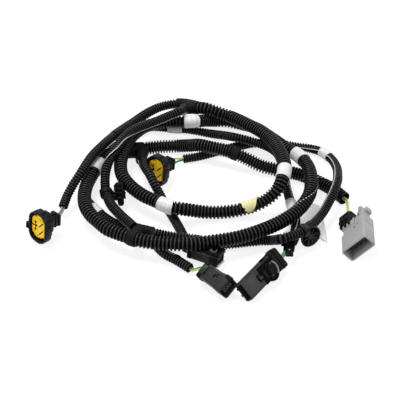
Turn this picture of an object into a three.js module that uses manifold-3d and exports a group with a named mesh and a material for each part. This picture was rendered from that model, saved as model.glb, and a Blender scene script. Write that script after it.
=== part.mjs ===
// A vehicle wiring harness: one trunk of corrugated conduit coiled flat, with six leads that end in plugs and sockets.
// Millimetres, +Z up. The harness lies on the plane z = 0, with the origin at the middle of its footprint.
import * as THREE from "three";
import { mergeVertices } from "three/addons/utils/BufferGeometryUtils.js";
import Module from "manifold-3d";

const wasm = await Module();
wasm.setup();

// Driving dimensions

const planCentre = { x: 2.3, y: -11.1 };
const trunkOuter = 10;
const trunkBore = 7.5;
const leadOuter = 7.1;
const leadBore = 4.6;
const stoutLeadOuter = 7.8;
const mouthDepth = 12;
const buttGap = 0.6;
const clearance = 0.3;
const sweepStep = 6;
const trunkSides = 12;
const leadSides = 10;

const tapeWall = 0.5;
const trunkTape = 13;
const leadTape = 11;
const yellowTape = 15;
const spotTape = 22;
const blackBand = 7;

const wireOuter = 1.7;
const wireSides = 8;
const wireStep = 4;
const wireHole = wireOuter + 2 * clearance;
const wireHoleDepth = 5;
const wirePitchInBore = 2;

const fogRim = { width: 17.4, height: 23.6, corner: 7.6, depth: 7, wall: 1.3, floor: 1.4 };
const fogBody = { width: 11.5, height: 14, corner: 4, depth: 5.5 };
const fogNeck = { width: 7.6, height: 8.8, corner: 2, depth: 8 };
const fogInsert = { width: 13.4, height: 17.4, corner: 5.4, recess: 1.6 };
const fogSlot = { length: 7, width: 0.9, depth: 3, pitch: 6.2, slant: 49 };
const fogLug = { reach: 2.6, width: 4, height: 6, fromRim: 3 };
const fogLatch = { width: 6, rise: 1.6, length: 7 };
const fogWirePitch = 4;

const grey = { width: 22, height: 11.4, corner: 2, length: 26, wall: 1.3, cavity: 17 };
const greyTongue = { width: 12, height: 2, length: 10 };
const greyTab = { length: 5, width: 8, rise: 2.6, overhang: 6 };
const greyRib = { length: 9, width: 1.6, rise: 1, pitch: 3.4 };
const greyCap = { length: 10, width: 11, height: 9.4, offsetY: -5.2, offsetZ: 3, leg: 4, legWidth: 2 };
const greyWirePitch = 4.5;

const plug = { width: 11.6, height: 8.6, corner: 1.5, length: 21.5, wall: 1.3, cavity: 9 };
const lowPlug = { width: 11.6, height: 7.6, corner: 1.5, length: 18.5, wall: 1.3, cavity: 7 };
const plugInsertRecess = 3.2;
const plugLatch = { width: 4.6, rise: 1.1, length: 9, fromMouth: 4 };
const plugCap = { length: 3.4, proud: 0.5 };
const plugWirePitch = 3.4;

const sealed = { width: 13.4, height: 7, corner: 1.4, length: 37, wall: 1.2, cavity: 8 };
const sealedInsertRecess = 3;
const sealedPocket = { length: 15, width: 9, depth: 1.6, fromRear: 4 };
const sealedWindow = { length: 3.6, width: 5, depth: 1, gap: 2 };
const sealedFlange = { length: 4.2, proud: 1.1 };
const sealedWirePitch = 3.2;

const strapWall = 1.2;
const strapWidth = 5;
const labelSheet = { low: 0.15, high: 0.85 };

// Routes of the conduits: points chosen by hand along each centre line, in the order in which the loom runs

const upperRunPoints = [
  [105.7, -17.8, 5.1], [98, -6.4, 5.1], [86.1, 4.9, 5.1], [70.1, 14.8, 5.1], [57, 19.3, 5.1],
  [45.9, 22.6, 6.5], [36, 25.8, 10], [27, 29.1, 12.8], [18, 33.3, 13.3], [8, 36.7, 13.4],
  [0, 40.4, 12.8], [-8, 46, 8.6], [-18, 50, 5.4], [-31, 49.4, 5.1], [-44.6, 46.3, 5.2],
];
const leftBendPoints = [
  [-49, 44.5, 5.2], [-54.9, 43.1, 5.4], [-61.6, 39.4, 7.4], [-69.6, 28.7, 12], [-75.5, 15.6, 12.9],
  [-80.5, -1.2, 13], [-82.9, -12.4, 13.1], [-83.4, -24.4, 13.1], [-81.6, -36.3, 13.1],
  [-77.2, -46.1, 13], [-70.6, -54.6, 12.8], [-63.9, -62.3, 12.8], [-55, -67.7, 12.8],
  [-47.5, -71.6, 12.8],
];
const outerTurnPoints = [
  [-45, -72.9, 12.8], [-34, -76.5, 13], [-21, -78.8, 13.5], [-7, -79.7, 13.7], [7, -76.6, 13.4],
  [24, -72, 12.9], [40, -65.4, 13.3], [56, -55.5, 13.4], [69.3, -42.5, 14.1], [78.3, -27, 15.6],
  [81.1, -11, 16.6], [80.2, 8.1, 15.9], [74.5, 24.6, 13.9], [67.3, 34.1, 13], [59.7, 44.1, 13.1],
  [52.4, 53.3, 13.2], [43.8, 69.8, 9], [34, 80.2, 5.4], [23.1, 84.1, 5.3], [12, 83.4, 6.6],
  [4, 78.9, 9.8], [-4, 71.8, 13.9], [-13, 71.3, 13.9], [-23.1, 71.1, 13.9], [-32.2, 69.8, 13.8],
  [-41.3, 65.7, 13.8], [-48.1, 56.5, 15], [-54.2, 42.8, 16.4], [-57.8, 25.5, 16.8],
  [-59.1, 9.1, 16.4], [-57, -3, 15.3], [-50.3, -14.2, 14], [-40.1, -25.5, 13.7], [-33, -30.5, 13.7],
  [-27.4, -34.5, 13.7],
];
const innerTurnPoints = [
  [-25.2, -35.9, 13.7], [-20, -38.5, 13.4], [-14.1, -38.5, 12.4], [-6, -37.1, 9.8], [4, -35.5, 7],
  [15.9, -34.2, 5.9], [28.9, -32, 6.4], [38.9, -30.1, 8.5], [47.9, -28, 12.5], [55.2, -24.3, 18],
  [59.7, -15.9, 22.8], [61.9, -3.4, 24.3], [60.6, 9.9, 24.4], [57.6, 23.1, 23.4],
  [52.8, 36.8, 21.8], [46.2, 48.4, 20.4], [37.7, 59.7, 18.6], [29.7, 69.4, 17], [22.8, 76.4, 15.9],
  [13.7, 78.4, 18.3], [4.9, 81.6, 19.5], [-3, 86.3, 17.4],
];
const lampLeadOnePoints = [
  [-11.9, 97, 14], [-20.8, 97.6, 13.6], [-31.8, 94.9, 12.6], [-41.6, 88.1, 11.4],
  [-52.4, 73.6, 11.8], [-64.8, 50.7, 16], [-73.2, 27.2, 21.8], [-80.4, 12.8, 21.7],
  [-86.5, -5.8, 21], [-92, -14.3, 16], [-96.2, -22, 11], [-98.7, -31.2, 7.5],
];
const backLeadPoints = [
  [-11.7, 86.1, 16.4], [-16.8, 70.1, 23.8], [-23.4, 64.9, 24], [-30.9, 58.9, 24],
  [-40.9, 51.1, 24.4], [-51.9, 40.7, 25.6], [-58.8, 28.2, 25.8], [-63, 16.4, 24.6],
  [-66.7, 8.1, 22], [-68.9, -1, 19.2], [-69.4, -9, 15], [-68.1, -19, 11.8], [-63.6, -32, 11.3],
  [-55.4, -46, 11.8], [-50.2, -53.3, 12.2], [-45.8, -59.5, 12.4],
];
const longLeadPoints = [
  [-47.6, -52.8, 4.2], [-54.9, -48.5, 3.8], [-63.8, -42.2, 4], [-71.9, -34.6, 4.8],
  [-77.8, -26.5, 4.7], [-82.4, -18.2, 4.3], [-84, -8, 3.7], [-84, 3, 3.7], [-81, 13, 3.7],
  [-78.8, 21.9, 3.7], [-74.6, 33.4, 3.7], [-69.4, 45.9, 3.7], [-62.7, 56.2, 3.7],
  [-52.5, 68.4, 3.7], [-40.1, 76.4, 4.9], [-24, 74.7, 5.3], [-8, 74.3, 4], [8, 69.1, 3.9],
  [18, 61.6, 7.4], [26.9, 52.2, 11.9], [35.9, 48, 12.4], [44.9, 44.4, 11.6], [52.3, 39, 11.8],
  [58, 30.7, 12.6], [60.9, 16.9, 14.3], [62.3, 5.6, 13.8], [63.1, -5.9, 10], [65, -16, 5.8],
  [66.7, -28, 4.9], [68, -42, 4.9], [66.9, -55, 4.7], [65, -61, 4.8], [62.9, -66.9, 4.8],
];
const lampLeadTwoPoints = [
  [-30.9, -64.7, 11.2], [-21.9, -67.7, 11.3], [-12, -69.8, 11.4], [-5, -70.2, 10.7],
  [2, -69.1, 8.2], [9, -69.3, 5.6], [16, -68, 3.8], [25, -66.7, 3.7], [35.1, -65, 3.7],
  [44.1, -64, 3.9], [50.4, -66.7, 6.6], [55.5, -74.3, 14.2], [61.4, -72.9, 14.8],
  [70.4, -65.8, 13.6], [77.9, -55.5, 11], [87.1, -40.5, 10.2], [92.1, -31, 12], [96.7, -20.9, 14.2],
  [100.5, -8, 14.3], [102.2, 4, 11.5], [103.1, 17, 8], [100.9, 30.5, 6], [94, 42, 5.2],
  [84.9, 48.6, 4], [74.8, 51.7, 3.7], [62.9, 55.1, 3.7], [48.9, 56.2, 3.7], [35, 54, 3.9],
  [23, 49, 4], [12, 44, 3.7], [0, 38.5, 3.7], [-13, 34.6, 3.7],
];
const crossLeadPoints = [
  [-45.3, 34, 5], [-42.8, 18, 12], [-40, 1.4, 19], [-36.7, -5.9, 18.5], [-33.4, -12.8, 15.5],
  [-29.3, -18.1, 10], [-25.4, -24.5, 6], [-21.2, -32.9, 3.9], [-17.5, -42, 3.7], [-13.5, -53, 3.7],
  [-9, -66, 3.8],
];
const frontLeadPoints = [
  [-37, -55, 4.6], [-33.7, -61, 3.7], [-29.9, -69.4, 3.7], [-23.9, -78, 3.7], [-15.8, -84.6, 3.7],
  [-7.6, -92.2, 3.7],
];

// Colours of the plastics, tapes and wires

const finish = (color, roughness, metalness = 0) =>
  new THREE.MeshStandardMaterial({ color, roughness, metalness });
const conduitBlack = finish(0x1a1a1b, 0.5);
const clothBlack = finish(0x0e0e0f, 0.8);
const tapeWhite = finish(0xe6e6e4, 0.6);
const tapeYellow = finish(0xe6e2ae, 0.7);
const plasticBlack = finish(0x202022, 0.45);
const plasticCharcoal = finish(0x3a3a3c, 0.5);
const plasticGrey = finish(0x9a9a9c, 0.5);
const insertYellow = finish(0xe8c010, 0.45);
const labelWhite = finish(0xdcdcda, 0.6);
const wireColours = {
  yellow: finish(0xd8cf86, 0.5),
  white: finish(0xc9c9cb, 0.5),
  grey: finish(0x8d8f92, 0.5),
  green: finish(0x5c9a62, 0.5),
  lime: finish(0xb4b87c, 0.5),
  blue: finish(0x4fa3b5, 0.5),
  orange: finish(0xb5562a, 0.5),
  black: finish(0x1c1c1e, 0.5),
};

const harness = new THREE.Group();
const loom = new THREE.Group();
loom.position.set(-planCentre.x, -planCentre.y, 0);
harness.add(loom);

// Solids: a closed geometry as a solid for cuts and joins, and back

function solidOf(geometry, matrix) {
  const source = geometry.index ? geometry.toNonIndexed() : geometry.clone();
  const bare = new THREE.BufferGeometry();
  bare.setAttribute("position", source.getAttribute("position").clone());
  if (matrix) bare.applyMatrix4(matrix);
  const merged = mergeVertices(bare, 1e-4);
  return new wasm.Manifold(
    new wasm.Mesh({
      numProp: 3,
      vertProperties: merged.attributes.position.array,
      triVerts: new Uint32Array(merged.index.array),
    }),
  );
}

function geometryOf(solid) {
  const mesh = solid.getMesh();
  const geometry = new THREE.BufferGeometry();
  geometry.setAttribute("position", new THREE.BufferAttribute(new Float32Array(mesh.vertProperties), 3));
  geometry.setIndex(new THREE.BufferAttribute(new Uint32Array(mesh.triVerts), 1));
  geometry.computeVertexNormals();
  return geometry;
}

const joined = (solids) => solids.reduce((sum, solid) => sum.add(solid));
const cutBy = (solid, cutters) => cutters.reduce((rest, cutter) => rest.subtract(cutter), solid);

function place(name, solid, material, parent = loom) {
  const mesh = new THREE.Mesh(geometryOf(solid), material);
  mesh.name = name;
  parent.add(mesh);
  return solid;
}

// Shapes that the plastic pieces are made of: prisms along the local X axis, boxes and short round rods

function roundedShape(width, height, corner) {
  const [w, h] = [width / 2, height / 2];
  const shape = new THREE.Shape();
  shape.moveTo(w, -h + corner);
  shape.lineTo(w, h - corner);
  shape.absarc(w - corner, h - corner, corner, 0, Math.PI / 2, false);
  shape.lineTo(-w + corner, h);
  shape.absarc(-w + corner, h - corner, corner, Math.PI / 2, Math.PI, false);
  shape.lineTo(-w, -h + corner);
  shape.absarc(-w + corner, -h + corner, corner, Math.PI, 1.5 * Math.PI, false);
  shape.lineTo(w - corner, -h);
  shape.absarc(w - corner, -h + corner, corner, 1.5 * Math.PI, 2 * Math.PI, false);
  return shape;
}

const alongX = new THREE.Matrix4().makeBasis(
  new THREE.Vector3(0, 1, 0),
  new THREE.Vector3(0, 0, 1),
  new THREE.Vector3(1, 0, 0),
);

function prism(width, height, corner, from, to, y = 0, z = 0) {
  const geometry = new THREE.ExtrudeGeometry(roundedShape(width, height, corner), {
    depth: to - from,
    steps: 1,
    bevelEnabled: false,
    curveSegments: 3,
  });
  const matrix = new THREE.Matrix4().makeTranslation(from, y, z).multiply(alongX);
  return solidOf(geometry, matrix);
}

function block(x0, x1, y0, y1, z0, z1) {
  const geometry = new THREE.BoxGeometry(x1 - x0, y1 - y0, z1 - z0);
  return solidOf(geometry, new THREE.Matrix4().makeTranslation((x0 + x1) / 2, (y0 + y1) / 2, (z0 + z1) / 2));
}

function turned(profile, origin, direction, sides = 12) {
  const points = profile.map(([radius, along]) => new THREE.Vector2(radius, along));
  const geometry = new THREE.LatheGeometry(points, sides);
  const turn = new THREE.Quaternion().setFromUnitVectors(
    new THREE.Vector3(0, 1, 0),
    new THREE.Vector3(...direction).normalize(),
  );
  return solidOf(
    geometry,
    new THREE.Matrix4().compose(new THREE.Vector3(...origin), turn, new THREE.Vector3(1, 1, 1)),
  );
}

const rodX = (diameter, from, to, y, z) =>
  turned([[0, 0], [diameter / 2, 0], [diameter / 2, to - from], [0, to - from]], [from, y, z], [1, 0, 0], wireSides);

const rodUp = (diameter, from, to, x, y) =>
  turned([[0, 0], [diameter / 2, 0], [diameter / 2, to - from], [0, to - from]], [x, y, from], [0, 0, 1], wireSides);

// A wrap of tape over a joint: fat in the middle, thinner at both ends
function spindle(start, end, endRadius, middleRadius) {
  const a = new THREE.Vector3(...start);
  const b = new THREE.Vector3(...end);
  const length = a.distanceTo(b);
  const profile = [
    [0, 0], [endRadius, 0], [(endRadius + middleRadius) / 2, length * 0.2], [middleRadius, length * 0.5],
    [(endRadius + middleRadius) / 2, length * 0.8], [endRadius, length], [0, length],
  ];
  return turned(profile, start, b.clone().sub(a).toArray());
}

// Routes and sweeps

const route = (points) =>
  new THREE.CatmullRomCurve3(points.map((p) => new THREE.Vector3(...p)), false, "centripetal");

class Stretch extends THREE.Curve {
  constructor(parent, from, to) {
    super();
    this.parent = parent;
    this.from = from;
    this.to = to;
  }
  getPoint(t, target = new THREE.Vector3()) {
    const length = this.parent.getLength();
    const along = this.from + (this.to - this.from) * t;
    const inside = Math.min(Math.max(along, 0), length);
    target.copy(this.parent.getPointAt(inside / length));
    return target.addScaledVector(this.parent.getTangentAt(inside / length), along - inside);
  }
}

// Distance along a route to the place nearest a point
function reach(curve, point) {
  const target = new THREE.Vector3(...point);
  const count = 1500;
  let best = 0;
  let least = Infinity;
  for (let i = 0; i <= count; i += 1) {
    const gap = curve.getPointAt(i / count).distanceTo(target);
    if (gap < least) {
      least = gap;
      best = i / count;
    }
  }
  return best * curve.getLength();
}

function sectionShape(outer, sides, inner = 0) {
  const ring = (radius) =>
    Array.from({ length: sides }, (_, i) => {
      const angle = (2 * Math.PI * i) / sides;
      return new THREE.Vector2(radius * Math.cos(angle), radius * Math.sin(angle));
    });
  const shape = new THREE.Shape(ring(outer));
  if (inner > 0) shape.holes.push(new THREE.Path(ring(inner).reverse()));
  return shape;
}

function sweep(curve, from, to, section, step = sweepStep) {
  const stretch = new Stretch(curve, from, to);
  const geometry = new THREE.ExtrudeGeometry(section, {
    steps: Math.max(1, Math.round((to - from) / step)),
    bevelEnabled: false,
    extrudePath: stretch,
  });
  return solidOf(geometry);
}

const roomy = (outer) => outer / 2 + clearance + 0.1;

// One length of conduit, with an open mouth where its wires come out
function conduit(name, curve, from, to, outer, sides, bore, openAt = null) {
  let solid = sweep(curve, from, to, sectionShape(outer / 2, sides));
  if (openAt === "start") {
    solid = solid.subtract(sweep(curve, from - 1, from + mouthDepth, sectionShape(bore / 2, leadSides)));
  }
  if (openAt === "end") {
    solid = solid.subtract(sweep(curve, to - mouthDepth, to + 1, sectionShape(bore / 2, leadSides)));
  }
  return place(name, solid, conduitBlack);
}

function tapeRing(name, curve, point, width, outer, sides, material) {
  const middle = reach(curve, point);
  const inner = (outer / 2 + clearance) / Math.cos(Math.PI / sides);
  const ring = sweep(curve, middle - width / 2, middle + width / 2, sectionShape(inner + tapeWall, sides, inner), 3);
  return place(name, ring, material);
}

// Trunk conduit: four lengths on one route, butted under tape

const trunk = route([...upperRunPoints, ...leftBendPoints, ...outerTurnPoints, ...innerTurnPoints]);
trunk.arcLengthDivisions = 3000;
const midway = (a, b) => a.map((value, i) => (value + b[i]) / 2);
const backJoint = reach(trunk, midway(upperRunPoints.at(-1), leftBendPoints[0]));
const frontJoint = reach(trunk, midway(leftBendPoints.at(-1), outerTurnPoints[0]));
const turnJoint = reach(trunk, midway(outerTurnPoints.at(-1), innerTurnPoints[0]));
const trunkEnd = trunk.getLength();

conduit("trunk_conduit_upper_run", trunk, 0, backJoint - buttGap / 2, trunkOuter, trunkSides, trunkBore, "start");
conduit("trunk_conduit_left_bend", trunk, backJoint + buttGap / 2, frontJoint - buttGap / 2, trunkOuter, trunkSides);
conduit("trunk_conduit_outer_turn", trunk, frontJoint + buttGap / 2, turnJoint - buttGap / 2, trunkOuter, trunkSides);
conduit("trunk_conduit_inner_turn", trunk, turnJoint + buttGap / 2, trunkEnd, trunkOuter, trunkSides);

// Lead conduits

const lampLeadOne = route(lampLeadOnePoints);
const backLead = route(backLeadPoints);
const longLead = route(longLeadPoints);
const lampLeadTwo = route(lampLeadTwoPoints);
const crossLead = route(crossLeadPoints);
const frontLead = route(frontLeadPoints);
for (const curve of [lampLeadOne, backLead, longLead, lampLeadTwo, crossLead, frontLead]) {
  curve.arcLengthDivisions = 1200;
}
const lampSplit = reach(lampLeadOne, [-66.8, 46.3, 16.9]);

conduit("lamp_lead_1_conduit_stout", lampLeadOne, 0, lampSplit - buttGap / 2, stoutLeadOuter, leadSides);
conduit("lamp_lead_1_conduit", lampLeadOne, lampSplit + buttGap / 2, lampLeadOne.getLength(),
  leadOuter, leadSides, leadBore, "end");
conduit("back_lead_conduit", backLead, 0, backLead.getLength(), leadOuter, leadSides);
conduit("long_lead_conduit", longLead, 0, longLead.getLength(), leadOuter, leadSides, leadBore, "end");
conduit("lamp_lead_2_conduit", lampLeadTwo, 0, lampLeadTwo.getLength(), leadOuter, leadSides, leadBore, "end");
conduit("cross_lead_conduit", crossLead, 0, crossLead.getLength(), leadOuter, leadSides, leadBore, "end");
conduit("front_lead_conduit", frontLead, 0, frontLead.getLength(), leadOuter, leadSides, leadBore, "end");

// Tape bands: white where the conduit is held shut, one torn yellow, two black

const trunkBands = [
  ["white_tape_left_bend", [-74.4, 18.5, 12.8], trunkTape, tapeWhite],
  ["white_tape_outer_right", [74.5, 24.6, 13.9], trunkTape + 3, tapeWhite],
  ["white_tape_outer_back", [-6.1, 71.8, 13.8], trunkTape - 1, tapeWhite],
  ["white_tape_butt_joint", [-25.6, -35.6, 13.7], trunkTape, tapeWhite],
  ["white_tape_inner_right", [61.3, -9.4, 23.9], trunkTape + 1, tapeWhite],
  ["yellow_tape", [35.3, -30.8, 7.5], yellowTape, tapeYellow],
  ["black_tape_upper_run", [27, 29.1, 12.8], blackBand + 3, clothBlack],
];
for (const [name, point, width, material] of trunkBands) {
  tapeRing(name, trunk, point, width, trunkOuter, trunkSides, material);
}
const leadBands = [
  ["white_tape_long_lead_left", longLead, [-74.5, -31.3, 4.8], leadTape - 1, tapeWhite],
  ["white_tape_long_lead_back", longLead, [-20.1, 75.6, 4.4], leadTape, tapeWhite],
  ["white_tape_long_lead_right", longLead, [66.1, -23.4, 5], leadTape + 2, tapeWhite],
  ["white_tape_lamp_lead_2", lampLeadTwo, [96.1, 39.5, 5.4], leadTape, tapeWhite],
];
for (const [name, curve, point, width, material] of leadBands) {
  tapeRing(name, curve, point, width, leadOuter, leadSides, material);
}

// Taped junctions: a wrap of black cloth tape over each place where leads leave the trunk

const nearTrunk = (joint, before, after) =>
  sweep(trunk, joint - before, joint + after, sectionShape(roomy(trunkOuter), trunkSides), 4);
const nearLead = (curve, from, to, outer = leadOuter) =>
  sweep(curve, from, to, sectionShape(roomy(outer), leadSides), 4);
const along = (curve, distance) => curve.getPointAt(distance / curve.getLength()).toArray();
const floorReach = 200;
const floorGap = 0.2;
const floorCut = block(-floorReach, floorReach, -floorReach, floorReach, -30, floorGap);
const trunkWrap = { end: trunkOuter / 2 + 0.9, middle: trunkOuter / 2 + 2.2 };
const leadWrap = { end: leadOuter / 2 + 1.2, middle: leadOuter / 2 + 2.5 };

const backJunction = cutBy(
  joined([
    spindle(along(trunk, backJoint - 11), along(trunk, backJoint + 12), trunkWrap.end, trunkWrap.middle),
    spindle(along(trunk, backJoint), along(crossLead, 7), leadWrap.end, leadWrap.middle),
  ]),
  [
    nearTrunk(backJoint, 30, 30),
    sweep(trunk, reach(trunk, outerTurnPoints[24]), reach(trunk, outerTurnPoints[28]),
      sectionShape(roomy(trunkOuter), trunkSides), 4),
    nearLead(crossLead, -1, 25),
    floorCut,
  ],
);
place("taped_junction_back", backJunction, clothBlack);

const frontKnot = {
  start: [-53, -52, 8.6], middle: [-42, -57, 8.5], end: [-26, -63.5, 9.6], neck: 3.6, endRadius: 5.2, radius: 8.4,
};
const frontJunction = cutBy(
  joined([
    spindle(along(trunk, frontJoint - 4.8), along(trunk, frontJoint + 4.8), trunkOuter / 2 + 1.1, trunkOuter / 2 + 1.6),
    spindle(along(trunk, frontJoint), frontKnot.middle, frontKnot.neck, frontKnot.neck + 1),
    spindle(frontKnot.start, frontKnot.end, frontKnot.endRadius, frontKnot.radius),
  ]),
  [
    nearTrunk(frontJoint, 14, 14),
    nearLead(backLead, backLead.getLength() - 20, backLead.getLength() + 1),
    nearLead(longLead, -1, 20),
    nearLead(lampLeadTwo, -1, 16),
    nearLead(frontLead, -1, 20),
    floorCut,
  ],
);
place("taped_junction_front", frontJunction, clothBlack);

const endJunction = cutBy(
  joined([
    spindle(along(trunk, trunkEnd - 5), along(lampLeadOne, 9), trunkWrap.end, trunkWrap.middle + 0.4),
    spindle(along(trunk, trunkEnd - 1), along(backLead, 6), leadWrap.end, leadWrap.middle),
  ]),
  [
    nearTrunk(trunkEnd, 30, 1),
    nearLead(lampLeadOne, -1, 30, stoutLeadOuter),
    nearLead(backLead, -1, 30),
    sweep(trunk, reach(trunk, outerTurnPoints[18]), reach(trunk, outerTurnPoints[24]),
      sectionShape(roomy(trunkOuter), trunkSides), 4),
  ],
);
place("taped_junction_end", endJunction, clothBlack);

// Clips that hold the loom to the body, each moulded in one piece with its strap

function strap(curve, point) {
  const middle = reach(curve, point);
  const inner = (leadOuter / 2 + clearance) / Math.cos(Math.PI / leadSides);
  return sweep(curve, middle - strapWidth / 2, middle + strapWidth / 2,
    sectionShape(inner + strapWall, leadSides, inner), 4);
}

const firTree = [
  [0, 0], [2, 0], [3, 1], [1.7, 3], [2.9, 3.4], [1.7, 5.6], [2.7, 6], [1.5, 8.4], [0, 9.4],
];
const strapRoom = (curve, point) => nearLead(curve, reach(curve, point) - 14, reach(curve, point) + 14);

const backLeadStrap = [-68, -19.3, 11.7];
const lampLeadTwoStrap = [71, -64.3, 13];
const longLeadStrap = [64, -63.5, 4.8];
const footHole = { x: 61.8, y: -72.4, diameter: 2.6 };

place("fir_tree_clip_back_lead", cutBy(
  joined([
    strap(backLead, backLeadStrap),
    block(-65, -57.4, -24, -16, 5.5, 11.5),
    turned(firTree, [-60.4, -16.5, 6.6], [0.05, 1, 0]),
    block(-61, -58.6, -30.5, -23.5, 4.5, 8),
  ]),
  [strapRoom(backLead, backLeadStrap)],
), plasticBlack);

const cupProfile = [
  [0, 0], [6.9, 0], [7.3, 1.6], [6.2, 3.4], [4.4, 6], [2.6, 8], [2.2, 12], [0, 13],
];
place("round_clip_lamp_lead_2", cutBy(
  joined([
    strap(lampLeadTwo, lampLeadTwoStrap),
    turned(cupProfile, [78.3, -65.2, 10.6], [-0.62, -0.36, -0.7]),
    block(73.5, 78.5, -65, -60.2, 9.4, 13),
  ]),
  [strapRoom(lampLeadTwo, lampLeadTwoStrap)],
), plasticBlack);

place("foot_clip_long_lead", cutBy(
  joined([
    strap(longLead, longLeadStrap),
    block(58.2, 66.2, -77.7, -62, 0.3, 2),
  ]),
  [
    rodUp(footHole.diameter, 0, 6, footHole.x, footHole.y),
    nearLead(longLead, reach(longLead, longLeadStrap) - 14, longLead.getLength() + clearance),
    floorCut,
  ],
), plasticBlack);

// Label: a bare folded flag that lies under the outer turn

const labelOutline = [
  [59, -51], [81, -15.5], [87, -22], [88.6, -38], [89, -65], [80, -54.5], [70.5, -57],
];
const labelShape = new THREE.Shape(labelOutline.map(([x, y]) => new THREE.Vector2(x, y)));
const labelGeometry = new THREE.ExtrudeGeometry(labelShape, {
  depth: labelSheet.high - labelSheet.low,
  bevelEnabled: false,
});
place("label_flag", solidOf(labelGeometry, new THREE.Matrix4().makeTranslation(0, 0, labelSheet.low)), labelWhite);

// Wires: bent tubes from inside a conduit's mouth to the back of a connector

const toLoom = (group, point) => {
  group.updateMatrix();
  return new THREE.Vector3(...point).applyMatrix4(group.matrix);
};

// Wires side by side: each starts inside the mouth and enters its own hole in the connector
function wires(prefix, curve, openAt, group, holes, colours) {
  const length = curve.getLength();
  const depth = mouthDepth - clearance;
  const inside = openAt === "end" ? length - depth : depth;
  const edge = openAt === "end" ? length : 0;
  const start = curve.getPointAt(inside / length);
  const lip = curve.getPointAt(edge / length);
  const out = lip.clone().sub(start).normalize();
  const target = toLoom(group, holes[0]).add(toLoom(group, holes[holes.length - 1])).multiplyScalar(0.5);
  const across = toLoom(group, holes[holes.length - 1]).sub(toLoom(group, holes[0]));
  across.addScaledVector(out, -across.dot(out)).normalize();
  const over = across.clone().cross(out);
  const into = toLoom(group, [1, 0, 0]).sub(toLoom(group, [0, 0, 0])).normalize();
  holes.forEach((hole, i) => {
    const aside = (i - (holes.length - 1) / 2) * wirePitchInBore * (holes.length > 2 ? 0.5 : 1);
    const above = holes.length > 2 ? wirePitchInBore * (i % 2 ? 0.577 : -0.289) : 0;
    const shift = across.clone().multiplyScalar(aside).addScaledVector(over, above);
    const end = toLoom(group, hole);
    const entry = end.clone().addScaledVector(into, -wireHoleDepth);
    const path = new THREE.CatmullRomCurve3([
      start.clone().add(shift),
      lip.clone().add(shift),
      lip.clone().add(shift).addScaledVector(out, target.distanceTo(lip) * 0.2),
      entry.clone().addScaledVector(into, -target.distanceTo(lip) * 0.15),
      entry,
      end,
    ], false, "centripetal");
    place(prefix + "_wire_" + (i + 1), sweep(path, 0, path.getLength(), sectionShape(wireOuter / 2, wireSides), wireStep),
      wireColours[colours[i]]);
  });
}

// A connector's group: its mouth opens along the group's own X axis
function connectorAt(mouth, yaw, pitch, roll) {
  const group = new THREE.Group();
  group.position.set(...mouth);
  group.rotation.set((roll * Math.PI) / 180, (-pitch * Math.PI) / 180, (yaw * Math.PI) / 180, "ZYX");
  loom.add(group);
  return group;
}

const wireHolesAt = (rear, places) =>
  places.map(([y, z]) => rodX(wireHole, rear - 1, rear + wireHoleDepth + 1.2, y, z));
const wireEndsAt = (rear, places) => places.map(([y, z]) => [rear + wireHoleDepth + 0.8, y, z]);

// Lamp plugs: an oval black shroud round a yellow insert with two slanted slots

function lampPlug(prefix, group) {
  const rim = fogRim.depth;
  const rear = -fogBody.depth - fogNeck.depth;
  const places = [[0, -fogWirePitch / 2], [0, fogWirePitch / 2]];
  const side = -fogRim.width / 2;
  const top = fogRim.height / 2;
  const housing = cutBy(
    joined([
      prism(fogRim.width, fogRim.height, fogRim.corner, 0, rim),
      prism(fogBody.width, fogBody.height, fogBody.corner, -fogBody.depth, 1),
      prism(fogNeck.width, fogNeck.height, fogNeck.corner, rear, -fogBody.depth + 1),
      block(rim - fogLug.fromRim - fogLug.width, rim - fogLug.fromRim,
        side - fogLug.reach, side + 1, -fogLug.height / 2, fogLug.height / 2),
      block(rim - fogLatch.length, rim, -fogLatch.width / 2, fogLatch.width / 2, top - 1.5, top + fogLatch.rise),
    ]),
    [
      prism(fogRim.width - 2 * fogRim.wall, fogRim.height - 2 * fogRim.wall, fogRim.corner - fogRim.wall,
        fogRim.floor, rim + 1),
      ...wireHolesAt(rear, places),
    ],
  );
  place(prefix + "_housing", housing, plasticBlack, group);
  const face = rim - fogInsert.recess;
  const slant = new THREE.Matrix4().makeRotationX((fogSlot.slant * Math.PI) / 180);
  const slot = (z) =>
    solidOf(new THREE.BoxGeometry(2 * fogSlot.depth, fogSlot.length, fogSlot.width),
      new THREE.Matrix4().makeTranslation(face, 2, z).multiply(slant));
  const insert = cutBy(
    prism(fogInsert.width, fogInsert.height, fogInsert.corner, fogRim.floor + clearance, face),
    [slot(fogSlot.pitch / 2), slot(-fogSlot.pitch / 2)],
  );
  place(prefix + "_insert", insert, insertYellow, group);
  return wireEndsAt(rear, places);
}

const lampPlugOne = connectorAt([-106.5, -57, 12.8], -131, 8, 0);
const lampOneEnds = lampPlug("lamp_plug_1", lampPlugOne);
wires("lamp_plug_1", lampLeadOne, "end", lampPlugOne, lampOneEnds, ["white", "grey"]);

const lampPlugTwo = connectorAt([-26.5, 9.6, 12.8], -128, 8, 0);
const lampTwoEnds = lampPlug("lamp_plug_2", lampPlugTwo);
wires("lamp_plug_2", lampLeadTwo, "end", lampPlugTwo, lampTwoEnds, ["yellow", "green"]);

// Main connector: a grey housing with an open mouth and a tongue, and a black cover over its wires

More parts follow.
